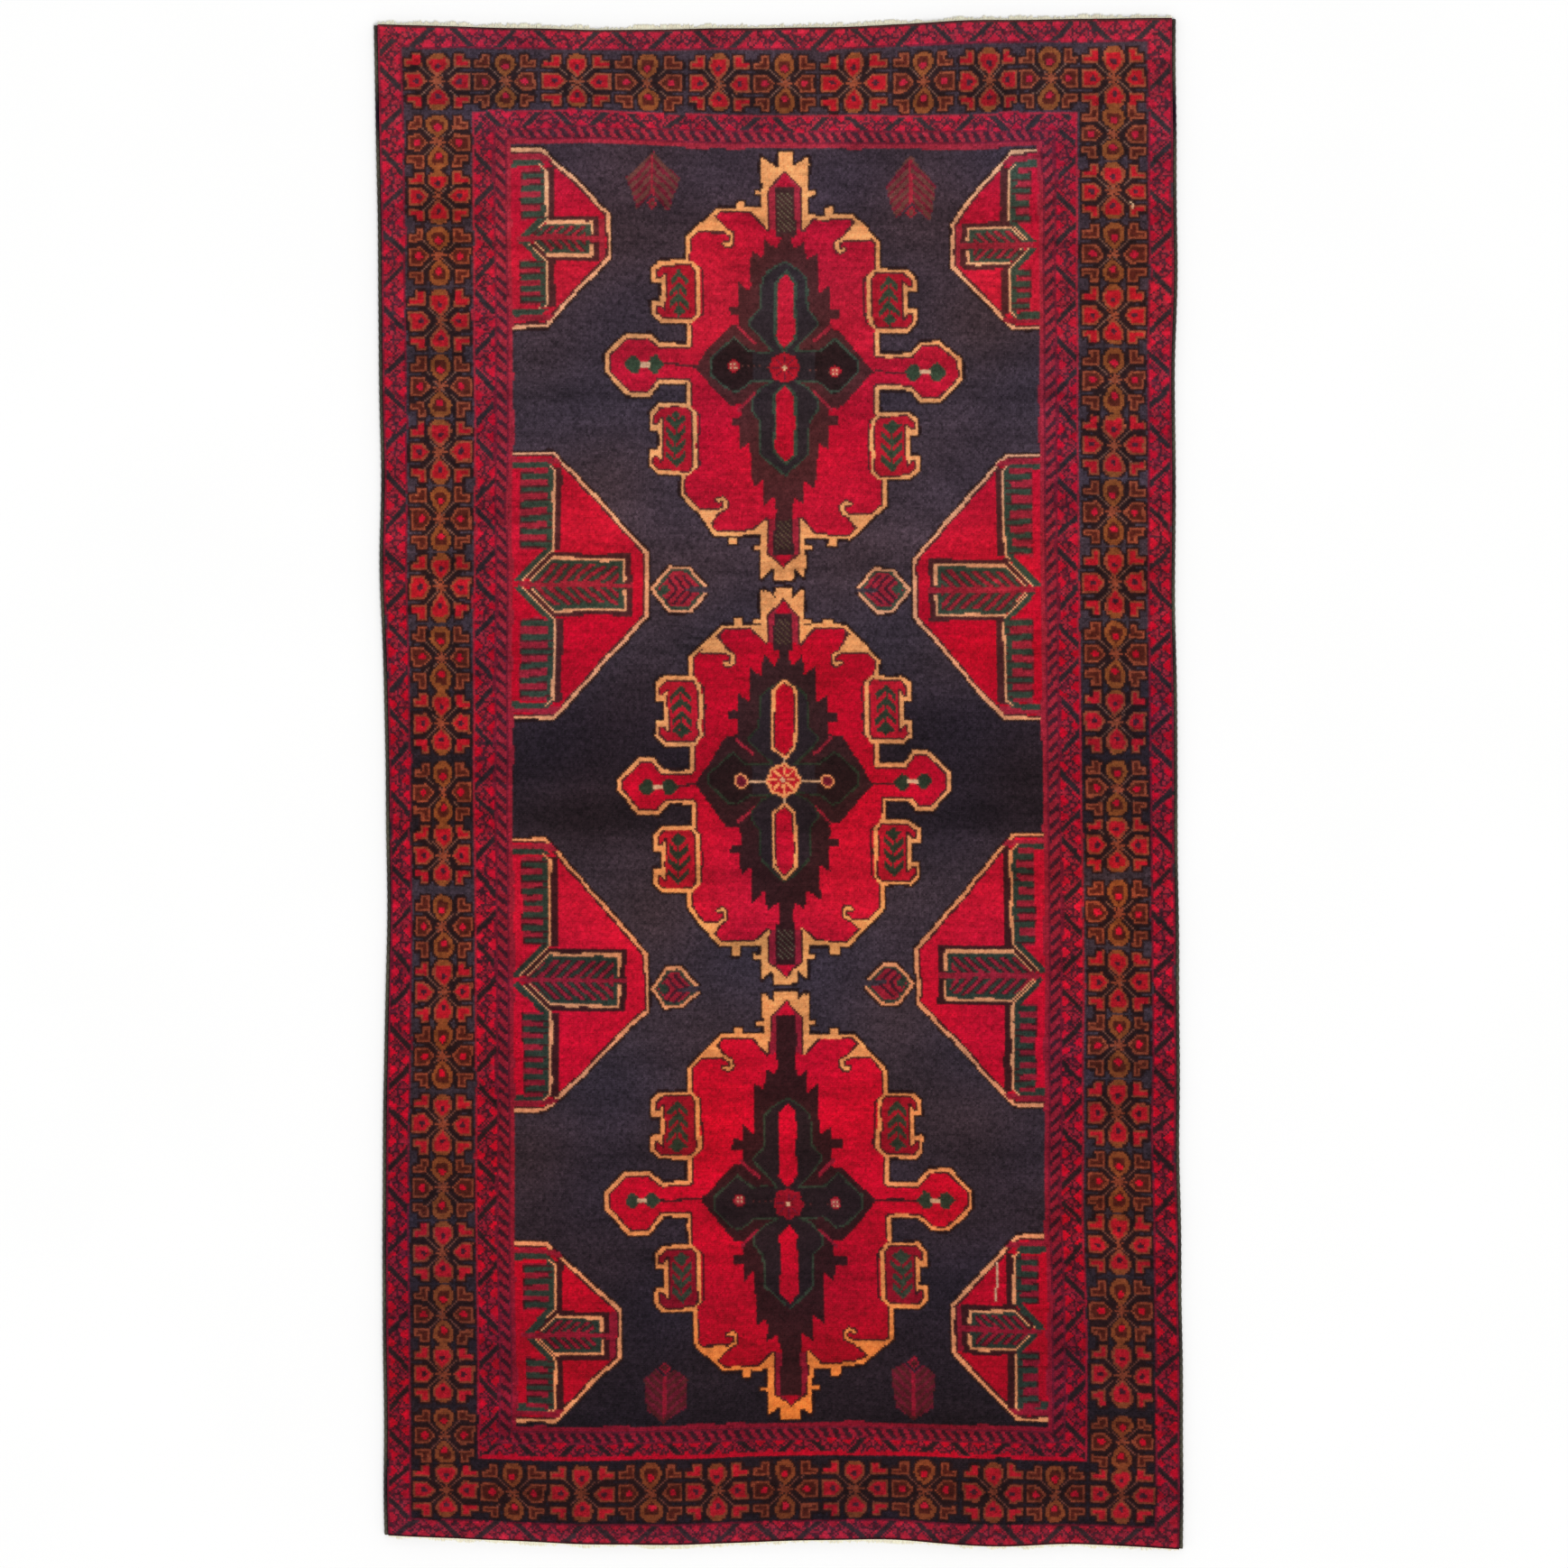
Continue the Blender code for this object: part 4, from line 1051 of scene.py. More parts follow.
# Half a flower's own size, the ground left on each side of it, and the most room that one takes, in knots.
TILE_HALF, TILE_GAP, WIDEST_TILE = 15.6, 0.7, 38
LEFT_TILES = (330, 302, 271.5, 238.5, 204.5, 171, 137, 101.5, 65.5, 32, -3.5, -35.5, -72.5, -106, -139, -174, -206.5,
              -239.5, -271.5, -302, -333.5)
RIGHT_TILES = (334, 304.5, 273, 241.5, 208, 175, 140.5, 104.5, 68, 33.5, -0.5, -29.5, -64.5, -99.5, -132, -167, -202,
               -234, -268, -301, -335)
TOP_TILES = (-172.8, -139, -102, -65, -28.5, 5, 41, 76.5, 110.3, 141.5, 173.5)
BOTTOM_TILES = (-172.6, -138, -102.8, -67.7, -33.4, 1.2, 37.2, 72.8, 107.9, 139.9, 173.3)


def row_of_tiles(places: Sequence[float], fixed: float, along_u: bool, first_red: bool,
                 ends: Point) -> list[FlowerTile]:
    """Tiles at the listed, unevenly spaced places along one side of the border, each as long as its neighbours leave
    room for.

    Args:
        places: The centres along the side.
        fixed: The centre line's own coordinate.
        along_u: Whether the side runs across the rug.
        first_red: Whether the first tile is red; the rest take turns.
        ends: Where the side's run of tiles starts and stops.

    Returns:
        The tiles in order.
    """
    tiles = []
    for i, place in enumerate(places):
        before = (place - places[i - 1]) if i else 2 * (place - ends[0])
        after = (places[i + 1] - place) if i + 1 < len(places) else 2 * (ends[1] - place)
        room = min(abs(before), abs(after), WIDEST_TILE) / 2 - TILE_GAP
        stretch = max(0.84, min(1.14, room / TILE_HALF))
        red = (i % 2 == 0) == first_red
        if along_u:
            tiles.append(FlowerTile(place, fixed, stretch, 0.95, red))
        else:
            tiles.append(FlowerTile(fixed, place, 1.0, stretch, red))
    return tiles


# Knots from one pair of curls in a guard to the next.
CURL = 8.6


@dataclass(frozen=True)
class Guard:
    """A narrow rose band of plum curls between two rows of red triangles, crossed by slanting dark bars.

    Attributes:
        far: Its outer edge's distance from the rug's middle, as (across, along).
        near: Its inner edge's.
        pitch: Knots from one bar to the next.
        seed: Fixes how far each bar strays.
        brim: The yarn of its outermost line.
    """

    far: Point
    near: Point
    pitch: float
    seed: int
    brim: Yarn

    def tie(self, chart: LoomChart) -> None:
        """Ties the band on all four sides, with mitred corners."""
        au, av = np.abs(chart.u), np.abs(chart.v)
        depth_u, depth_v = self.far[0] - au, self.far[1] - av
        ring = (np.minimum(depth_u, depth_v) >= 0) & ((au > self.near[0]) | (av > self.near[1]))
        on_side = depth_u < depth_v
        wide = np.where(on_side, self.far[0] - self.near[0], self.far[1] - self.near[1])
        t = np.where(on_side, depth_u, depth_v) / wide
        s = np.where(on_side, chart.v, chart.u)
        side = np.where(on_side, np.where(chart.u < 0, 0, 1), np.where(chart.v > 0, 2, 3))
        rng = np.random.default_rng(self.seed)
        yarn = np.full(s.shape, Yarn.ROSE, np.int16)
        grain = ripple(chart.knot_u, chart.knot_v, self.seed + 40, 6.2, 14)
        yarn[grain > 0.35] = Yarn.WINE
        yarn[grain > 1.45] = Yarn.PLUM
        across_band = (t - 0.5) * wide
        for k in range(4):
            here = side == k
            shift = rng.uniform(0, 9)
            waver = 1.3 * np.sin(s / 17 + k)
            place = np.mod(s + shift + waver, CURL)
            beside = np.where(place > CURL / 2, 1.0, -1.0)
            from_curl = np.hypot(np.abs(place - CURL / 2) - 1.9, across_band - 0.9 * beside)
            yarn[here & (from_curl < 2.1)] = Yarn.PLUM
            yarn[here & (from_curl < 1.2)] = Yarn.ROSE
            for slide, low in ((0.0, 0.10), (CURL / 2, 0.93)):
                tooth = np.abs(np.mod(s + shift + slide + waver, CURL) / CURL - 0.5) * 2
                depth = (t - low) if low < 0.5 else (low - t)
                past = (depth - 0.42 * tooth + 0.06) * wide
                yarn[here & (depth > 0) & (past < 0.9)] = Yarn.PLUM
                yarn[here & (depth > 0) & (past < 0) & (tooth > 0.3)] = Yarn.RED
            places = np.arange(-END - 20, END + 20, self.pitch)
            places = places + rng.uniform(-2.5, 2.5, len(places)) + rng.uniform(0, self.pitch)
            for i, middle in enumerate(places):
                lean = 1.0 if i % 2 else -1.0
                across_bar = (s - middle) + lean * across_band * 1.05
                bar = here & (t > 0.07) & (t < 0.94)
                yarn[bar & (np.abs(across_bar) < 2.9)] = Yarn.ROSE
                yarn[bar & (np.abs(across_bar) < 2.0)] = Yarn.SLATE
        yarn[t < 0.09] = self.brim
        if self.brim == Yarn.ROSE:
            yarn[(side == 3) & (t < 0.2)] = Yarn.RED
        else:
            yarn[(side > 1) & (t < 0.09)] = Yarn.BROWN
        yarn[t > 0.93] = Yarn.WINE
        chart.yarn[ring] = yarn[ring]


@dataclass(frozen=True)
class PoleStripe:
    """The barber-pole line, the plain red line and the dark line next to the field."""

    def tie(self, chart: LoomChart) -> None:
        """Ties the three lines on all four sides."""
        au, av = np.abs(chart.u), np.abs(chart.v)
        level = np.maximum(au - FIELD[0] + 0.5, av - FIELD[1])
        on_side = level > av - FIELD[1]
        ring = (level >= 0.2) & (level < 9.2)
        cells = chart.yarn
        cells[ring] = Yarn.ROSE
        cells[ring & (level >= 2.6) & (level < 3.5)] = Yarn.WINE
        lean = np.where(on_side, -1.0, 0.65 * np.sign(chart.v))
        slant = np.mod(np.where(on_side, chart.v, chart.u) + lean * level, np.where(on_side, 6.6, 5.6))
        cells[ring & (level >= 3.5) & (slant < 3)] = Yarn.PLUM
        cells[ring & (level >= 8.3)] = Yarn.WINE


@dataclass(frozen=True)
class Slub:
    """A pale thread that shows in the pile where a knot was tied in undyed wool."""

    line: tuple[Point, ...]

    def tie(self, chart: LoomChart) -> None:
        """Ties the thread one knot wide."""
        chart.stroke(self.line, 1.1, Yarn.PALE)


class RugPattern:
    """The whole pattern in the order that it is drawn: borders, then field motifs, then the chain."""

    def __init__(self) -> None:
        """Gathers the pattern's parts."""
        top, bottom = 361.9, -363.2
        self.tiles = [
            *row_of_tiles(LEFT_TILES[::-1], -173.0, False, False, (-348, 348)),
            *row_of_tiles(RIGHT_TILES[::-1], 173.2, False, False, (-348, 348)),
            *row_of_tiles(TOP_TILES, top, True, True, (-190, 190)),
            *row_of_tiles(BOTTOM_TILES, bottom, True, True, (-190, 190)),
        ]
        self.guards = (Guard((SIDE, END), GUARD, 20.5, 3, Yarn.WINE),
                       Guard(MAIN, (144.5, 336.5), 18.5, 5, Yarn.ROSE))
        slubs = (Slub(((110, -245), (110.5, -254), (109, -264))), Slub(((181.5, 299), (182.5, 295.5))))
        self.parts = [*self.guards, *self.tiles, *SIDE_MOTIFS, *BUDS, *TREES, *CHAIN, PoleStripe(), *slubs]

    def chart(self) -> LoomChart:
        """The finished chart."""
        made = LoomChart()
        for part in self.parts:
            part.tie(made)
        return made


# ---- meshes


@dataclass
class Soup:
    """The arrays of one mesh while it is put together.

    Attributes:
        points: (n, 3) places in metres.
        faces: (m, 4) corners of each face, as point numbers; a triangle repeats its last one.
        colours: (m, 4, 3) linear colours, one for each corner.
        flat: (m, 4, 2) places on the rug in metres, one for each corner, for the UV map.
    """

    points: list[np.ndarray] = field(default_factory=list)
    faces: list[np.ndarray] = field(default_factory=list)
    colours: list[np.ndarray] = field(default_factory=list)
    flat: list[np.ndarray] = field(default_factory=list)
    count: int = 0

    def add(self, points: np.ndarray, faces: np.ndarray, colours: np.ndarray, flat: np.ndarray) -> None:
        """Adds points and the faces between them."""
        self.points.append(points)
        self.faces.append(faces + self.count)
        self.colours.append(colours)
        self.flat.append(flat)
        self.count += len(points)


def packed_uv(flat: np.ndarray, margin: float = 0.004) -> np.ndarray:
    """Lays a piece's flat places in the unit square, a long strip cut into sections set side by side.

    The strip is cut across into as many sections as make the whole about square, by the place of each face's
    middle, and each section is moved beside the one before.

    Args:
        flat: (m, k, 2) places, one for each face corner.
        margin: The empty share round the whole.

    Returns:
        (m, k, 2) UV coordinates.
    """
    low, high = flat.reshape(-1, 2).min(0), flat.reshape(-1, 2).max(0)
    side = high - low
    along = int(side[1] > side[0])
    sections = max(1, round(float(np.sqrt(side[along] / max(side[1 - along], 1e-6)))))
    length = side[along] / sections
    gap = 0.02 * side[1 - along] if sections > 1 else 0.0
    middle = flat[..., along].mean(1)
    section = np.clip(((middle - low[along]) / length).astype(int), 0, sections - 1)
    moved = flat - low
    moved[..., along] -= (section * length)[:, None]
    moved[..., 1 - along] += (section * (side[1 - along] + gap))[:, None]
    moved -= moved.reshape(-1, 2).min(0)
    return margin + moved / moved.reshape(-1, 2).max(0) * (1 - 2 * margin)


def cell_corners(grid: np.ndarray, flip: bool = False) -> np.ndarray:
    """The four corners of each cell of a grid of numbers or places, on a new third axis, turned over if flipped."""
    around = [grid[:-1, :-1], grid[:-1, 1:], grid[1:, 1:], grid[1:, :-1]]
    return np.stack(around[::-1] if flip else around, 2)


def fans(rim: np.ndarray, tip: np.ndarray) -> np.ndarray:
    """What the four triangles of each tuft take: two corners of its rim in turn, then its tip twice."""
    return np.stack([np.stack([rim[:, i], rim[:, (i + 1) % 4], tip, tip], 1) for i in range(4)], 1)


def distance_along(places: np.ndarray) -> np.ndarray:
    """The distance along a line of places, from its start to each of them."""
    return np.concatenate([[0], np.cumsum(np.linalg.norm(np.diff(places, axis=0), axis=1))])


def mesh_object(name: str, soup: Soup, smooth: bool) -> bpy.types.Object:
    """One object at the origin from a soup, with its colours and its UV map.

    Args:
        name: The object's name.
        soup: The arrays.
        smooth: Whether its faces shade smoothly.

    Returns:
        The object, linked to the scene.
    """
    points = np.concatenate(soup.points)
    faces = np.concatenate(soup.faces)
    colours, flat = np.concatenate(soup.colours), np.concatenate(soup.flat)
    uv = packed_uv(flat)
    triangle = faces[:, 3] == faces[:, 2]
    keep = np.ones(faces.shape, bool)
    keep[triangle, 3] = False
    sizes = np.where(triangle, 3, 4)
    mesh = bpy.data.meshes.new(name)
    mesh.vertices.add(len(points))
    mesh.vertices.foreach_set("co", points.astype(np.float32).ravel())
    mesh.loops.add(int(sizes.sum()))
    mesh.loops.foreach_set("vertex_index", faces[keep].astype(np.int32))
    mesh.polygons.add(len(faces))
    mesh.polygons.foreach_set("loop_start", (np.cumsum(sizes) - sizes).astype(np.int32))
    mesh.update(calc_edges=True)
    mesh.polygons.foreach_set("use_smooth", np.full(len(faces), smooth))
    layer = mesh.uv_layers.new(name="OFBake")
    layer.data.foreach_set("uv", uv[keep].astype(np.float32).ravel())
    dye = mesh.color_attributes.new("dye", "FLOAT_COLOR", "CORNER")
    rgba = np.concatenate([colours[keep], np.ones((int(sizes.sum()), 1))], 1)
    dye.data.foreach_set("color", rgba.astype(np.float32).ravel())
    mesh.validate()
    made = bpy.data.objects.new(name, mesh)
    bpy.context.scene.collection.objects.link(made)
    log.info("%s: %d faces", name, len(faces))
    return made


# ---- materials


class Value:
    """A shader socket that takes part in sums, so that a node tree reads as its formula."""

    def __init__(self, nodes: NodeBook, socket: bpy.types.NodeSocket) -> None:
        """Holds one output socket and the tree it is in."""
        self.nodes, self.socket = nodes, socket

    def _math(self, operation: str, first: object, second: object) -> Value:
        """One Math node over two values or numbers."""
        return self.nodes.node("ShaderNodeMath", {0: first, 1: second}, operation=operation)

    def __add__(self, other: object) -> Value:
        """The sum, in either order."""
        return self._math("ADD", self, other)

    __radd__ = __add__

    def __sub__(self, other: object) -> Value:
        """The difference."""
        return self._math("SUBTRACT", self, other)

    def __rsub__(self, other: object) -> Value:
        """The difference, with a number first."""
        return self._math("SUBTRACT", other, self)

    def __mul__(self, other: object) -> Value:
        """The product, in either order."""
        return self._math("MULTIPLY", self, other)

    __rmul__ = __mul__


class NodeBook:
    """A material's node tree, with one method that makes every node."""

    def __init__(self, name: str) -> None:
        """Starts an empty material."""
        self.material = bpy.data.materials.new(name)
        self.material.use_nodes = True
        self.tree = self.material.node_tree
        self.tree.nodes.clear()

    def node(self, kind: str, inputs: dict[int | str, object] | None = None, output: int | str = 0,
             **settings: object) -> Value:
        """Makes one node.

        Args:
            kind: The node's class.
            inputs: Its inputs by name or number: a value, or a number or colour to set.
            output: Which output is taken.
            **settings: Its own settings.

        Returns:
            The output asked for.
        """
        made = self.tree.nodes.new(kind)
        for key, setting in settings.items():
            setattr(made, key, setting)
        for key, given in (inputs or {}).items():
            if isinstance(given, Value):
                self.tree.links.new(given.socket, made.inputs[key])
            else:
                made.inputs[key].default_value = given
        return Value(self, made.outputs[output])

    def noise(self, coordinates: Value, scale: float, detail: float) -> Value:
        """Fine noise, 0 to 1."""
        return self.node("ShaderNodeTexNoise", {"Vector": coordinates, "Scale": scale, "Detail": detail}, "Fac")

    def finish(self, base: Value, roughness: Value, height: Value | None = None, bump: float = 0,
               sheen: float = 0) -> bpy.types.Material:
        """Joins the parts into one surface.

        Args:
            base: The colour.
            roughness: The roughness.
            height: What the bump follows, 0 to 1, if there is one.
            bump: The bump's depth in metres.
            sheen: The fixed share of soft sheen.

        Returns:
            The material.
        """
        inputs: dict[int | str, object] = {"Base Color": base, "Roughness": roughness, "Sheen Weight": sheen,
                                           "Sheen Roughness": 0.5, "Specular IOR Level": 0.06}
        if height is not None:
            inputs["Normal"] = self.node("ShaderNodeBump", {"Strength": 0.6, "Distance": bump, "Height": height})
        surface = self.node("ShaderNodeBsdfPrincipled", inputs)
        self.tree.links.new(surface.socket, self.tree.nodes.new("ShaderNodeOutputMaterial").inputs["Surface"])
        return self.material


@dataclass(frozen=True)
class YarnFinish:
    """How one sort of yarn looks close up; its hue comes from the mesh's own dye.

    Attributes:
        name: The material's name.
        fibre: Noise cells per metre, for the fibres.
        mottle: Noise cells per metre, for broad wear.
        depth: How much the fibres lighten and darken the dye.
        rough: The middle roughness.
        bump: Depth of the bump in metres.
        sheen: The fixed share of sheen.
    """

    name: str
    fibre: float
    mottle: float
    depth: float
    rough: float
    bump: float
    sheen: float

    def material(self) -> bpy.types.Material:
        """The finish as a material: dye times fibre noise times wear, with a bump from the fibres."""
        book = NodeBook(self.name)
        at = book.node("ShaderNodeTexCoord", output="Object")
        dye = book.node("ShaderNodeAttribute", output="Color", attribute_name="dye")
        fibre = book.noise(at, self.fibre, 3)
        mottle = book.noise(at, self.mottle, 3)
        shade = (1 - self.depth * 0.75) + fibre * self.depth + (mottle - 0.5) * (self.depth * 0.5)
        base = book.node("ShaderNodeVectorMath", {0: dye, "Scale": shade}, 0, operation="SCALE")
        roughness = (self.rough - 0.08) + mottle * 0.12
        return book.finish(base, roughness, fibre, self.bump, self.sheen)


PILE_FINISH = YarnFinish("wool_pile", 620, 9, 0.42, 0.9, 0.0007, 0.05)
WEAVE_FINISH = YarnFinish("cotton_weave", 900, 14, 0.3, 0.92, 0.0003, 0.08)
FRINGE_FINISH = YarnFinish("cotton_fringe", 1100, 20, 0.3, 0.94, 0.0003, 0.12)
GOAT_FINISH = YarnFinish("goat_hair_overcast", 1300, 18, 0.5, 0.82, 0.0003, 0.1)


# ---- pile


@dataclass(frozen=True)
class Heap:
    """The pile's own relief.

    Attributes:
        crown: The mean height of a tuft's tip, in metres.
        dip: How far the corners between tufts lie below the tips.
        spread: How far one tuft's height strays from the next.
        lean: How far a tip strays sideways, in knots.
        blend: The share of its neighbours' dye at a tuft's corners.
        worn: How far broad wear raises and lowers the pile.
        sunk: How much lower the dark yarns stand, whose dye eats the wool.
    """

    crown: float = 0.00915
    dip: float = 0.00085
    spread: float = 0.00022
    lean: float = 0.30
    blend: float = 0.55
    worn: float = 0.00012
    sunk: float = 0.00025


class Pile:
    """The knotted pile: the tip and corners of every tuft, and its dye."""

    def __init__(self, chart: LoomChart, heap: Heap) -> None:
        """Works out every tuft's place and colour.

        Args:
            chart: The finished loom chart.
            heap: The pile's relief.
        """
        self.chart, self.heap = chart, heap
        rng = np.random.default_rng(21)
        self.dye = self.dyed(rng)
        grid_u, grid_v = np.meshgrid(np.arange(KNOTS + 1) - SIDE, np.arange(ROWS + 1) - END)
        worn = heap.worn * ripple(grid_u, grid_v, 31, 60)
        inner = (np.abs(grid_u) < SIDE) & (np.abs(grid_v) < END)
        push = rng.uniform(-heap.lean, heap.lean, (2, *grid_u.shape)) * 0.7 * inner
        x, y, rise = lay(grid_u + push[0], grid_v + push[1])
        height = heap.crown + worn - heap.dip * rng.uniform(0.15, 1.5, x.shape)
        self.corners = np.stack([x, y, np.minimum(height, PILE_TOP - 0.0005) + rise], -1)
        self.flat = np.stack([grid_u * KNOT_WIDE, grid_v * KNOT_LONG], -1)
        lean = rng.uniform(-heap.lean, heap.lean, (2, ROWS, KNOTS))
        tip_u, tip_v = chart.knot_u + lean[0], chart.knot_v + lean[1] - 0.1
        tx, ty, tip_rise = lay(tip_u, tip_v)
        tall = heap.crown + heap.worn * ripple(chart.knot_u, chart.knot_v, 31, 60)
        tall += rng.normal(0, heap.spread, tx.shape)
        dark = np.isin(chart.yarn, (Yarn.BLACK, Yarn.COFFEE, Yarn.PLUM, Yarn.BROWN, Yarn.SLATE))
        tall -= np.where(dark, heap.sunk, 0)
        self.tips = np.stack([tx, ty, np.clip(tall, heap.crown - 0.0009, PILE_TOP) + tip_rise], -1)
        self.tip_flat = np.stack([tip_u * KNOT_WIDE, tip_v * KNOT_LONG], -1)

    def dyed(self, rng: np.random.Generator) -> np.ndarray:
        """Each knot's linear colour: its yarn's dye lot, streaked row by row and flecked knot by knot."""
        chart = self.chart
        colour = np.zeros((*chart.yarn.shape, 3))
        for yarn, dye in DYES.items():
            here = chart.yarn == yarn
            fleck = 1 + rng.normal(0, dye.fleck, here.sum())
            colour[here] = dye.colours(chart.knot_v[here]) * np.clip(fleck, 0.5, 1.6)[:, None]
        row = rng.normal(0, 1, ROWS)
        streak = 0.035 * np.convolve(row, np.ones(3) / np.sqrt(3), "same")
        streak += 0.03 * np.convolve(row, np.ones(9) / 3, "same")
        u, v = chart.knot_u, chart.knot_v
        patch = 0.05 * ripple(u, v, 41, 34) + 0.05 * ripple(u, v * 3, 42, 70)
        patch += 0.05 * ripple(u, v * 1.5, 44, 6, 24)
        patch += 0.06 * ripple(u * 0.22, v * 1.6, 45, 5, 24)
        colour *= np.clip(1 + streak[:, None] + patch, 0.6, 1.4)[..., None]
        warm = 0.05 * ripple(u, v, 43, 90)
        return np.clip(colour * (1 + warm[..., None] * np.array([1, 0, -1])), 0.002, 0.98)

    def piece(self, member: np.ndarray) -> Soup:
        """The tufts of one piece of the pile.

        Each tuft is four triangles from its tip to its cell's corners. Neighbouring tufts share corners. A skirt
        goes straight down to the foundation wherever the piece ends.

        Args:
            member: Which knots are in it.

        Returns:
            The mesh's arrays.
        """
        rows, columns = np.nonzero(member)
        corner = cell_corners(np.arange((ROWS + 1) * (KNOTS + 1)).reshape(ROWS + 1, -1))[rows, columns]
        used, index = np.unique(corner, return_inverse=True)
        points = np.concatenate([self.corners.reshape(-1, 3)[used], self.tips[rows, columns]])
        faces = fans(index.reshape(corner.shape), len(used) + np.arange(len(rows)))
        own, mix = self.dye[rows, columns], self.heap.blend
        colours = fans(own[:, None] * (1 - mix) + self.blended().reshape(-1, 3)[corner] * mix, own)
        flat = fans(self.flat.reshape(-1, 2)[corner], self.tip_flat[rows, columns])
        soup = Soup()
        soup.add(points, faces.reshape(-1, 4), colours.reshape(-1, 4, 3), flat.reshape(-1, 4, 2))
        self.add_skirts(soup, member)
        return soup

    def blended(self) -> np.ndarray:
        """The mean dye of the four knots round each corner of the grid."""
        padded = np.pad(self.dye, ((1, 1), (1, 1), (0, 0)), "edge")
        return (padded[:-1, :-1] + padded[:-1, 1:] + padded[1:, :-1] + padded[1:, 1:]) / 4

    def add_skirts(self, soup: Soup, member: np.ndarray) -> None:
        """Adds the walls where a piece ends, from the corners down to the pile's foot, in their knots' dye darkened as
        painted shade.
        """
        padded = np.pad(member, 1)
        middle = padded[1:-1, 1:-1]
        sides = ((padded[:-2, 1:-1], (0, 0), (0, 1)), (padded[1:-1, 2:], (0, 1), (1, 1)),
                 (padded[2:, 1:-1], (1, 1), (1, 0)), (padded[1:-1, :-2], (1, 0), (0, 0)))
        for beside, first, second in sides:
            rows, columns = np.nonzero(middle & ~beside)
            ends = [self.corners[rows + r, columns + c] for r, c in (first, second)]
            feet = []
            for (r, c), end in zip((first, second), ends):
                foot = end.copy()
                foot[:, 2] = PILE_FOOT + lay(columns + c - SIDE, rows + r - END)[2] * 0.5
                feet.append(foot)
            count = len(rows)
            order = np.arange(count)
            points = np.concatenate([*ends, *feet])
            faces = np.stack([order + count, order, order + 2 * count, order + 3 * count], 1)
            # Each wall takes its knot's dye at 0.8: painted shade on the pile's steep sides.
            colours = np.repeat(self.dye[rows, columns][:, None] * 0.8, 4, 1)
            centre = np.stack([(columns + 0.5 - SIDE) * KNOT_WIDE, (rows + 0.5 - END) * KNOT_LONG], -1)
            rim = [self.flat[rows + r, columns + c] for r, c in (second, first)]
            inset = [point * 0.8 + centre * 0.2 for point in rim]
            flat = np.stack([rim[0], rim[1], inset[1], inset[0]], 1)
            soup.add(points, faces, colours, flat)


def zones(chart: LoomChart) -> dict[str, np.ndarray]:
    """Which knots are in each piece of the pile, by the CAD's own outlines."""
    u, v = chart.knot_u, chart.knot_v
    au, av = np.abs(u), np.abs(v)
    found: dict[str, np.ndarray] = {}
    bands = (("outer_guard", (SIDE, END), GUARD), ("main_border", GUARD, MAIN), ("inner_guard", MAIN, POLE),
             ("pole_stripe", POLE, FIELD))
    for name, (out_u, out_v), (in_u, in_v) in bands:
        for edge in (Edge.TOP, Edge.BOTTOM):
            found[f"{name}_{edge.label}"] = (au < out_u) & (v * edge.sign >= in_v) & (v * edge.sign < out_v)
        for edge in (Edge.LEFT, Edge.RIGHT):
            found[f"{name}_{edge.label}"] = (av < in_v) & (u * edge.sign > in_u) & (u * edge.sign < out_u)
    free = (au < FIELD[0]) & (av < FIELD[1])
    for motif in (*CHAIN, *SIDE_MOTIFS, *BUDS, *TREES):
        found[motif.name] = inside(u, v, motif.outline) & free
        free &= ~found[motif.name]
    found["field_ground_left"] = free & (u < CHAIN_AXIS)
    found["field_ground_right"] = free & (u > CHAIN_AXIS)
    return found


@dataclass(frozen=True)
class PilePieces:
    """Every separate stretch of pile, one object for each, standing for its CAD node."""

    heap: Heap = Heap()

    def build(self, chart: LoomChart, material: bpy.types.Material) -> tuple[Pile, list[bpy.types.Object]]:
        """Makes all the pile.

        Args:
            chart: The finished loom chart.
            material: The pile's finish.

        Returns:
            The worked-out pile and its objects.
        """
        pile = Pile(chart, self.heap)
        made = []
        for name, member in zones(chart).items():
            tufts = mesh_object(f"{name}_tufts", pile.piece(member), smooth=False)
            made.append(dress(tufts, material, name))
        return pile, made


def dress(obj: bpy.types.Object, material: bpy.types.Material, node: str) -> bpy.types.Object:
    """Gives a piece its finish and sets it in the place of its CAD node.

    Args:
        obj: The piece.
        material: Its finish.
        node: The CAD node that it stands for.

    Returns:
        The same piece.
    """
    obj.data.materials.append(material)
    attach(obj, "root")
    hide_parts(node)
    return obj


# ---- foundation


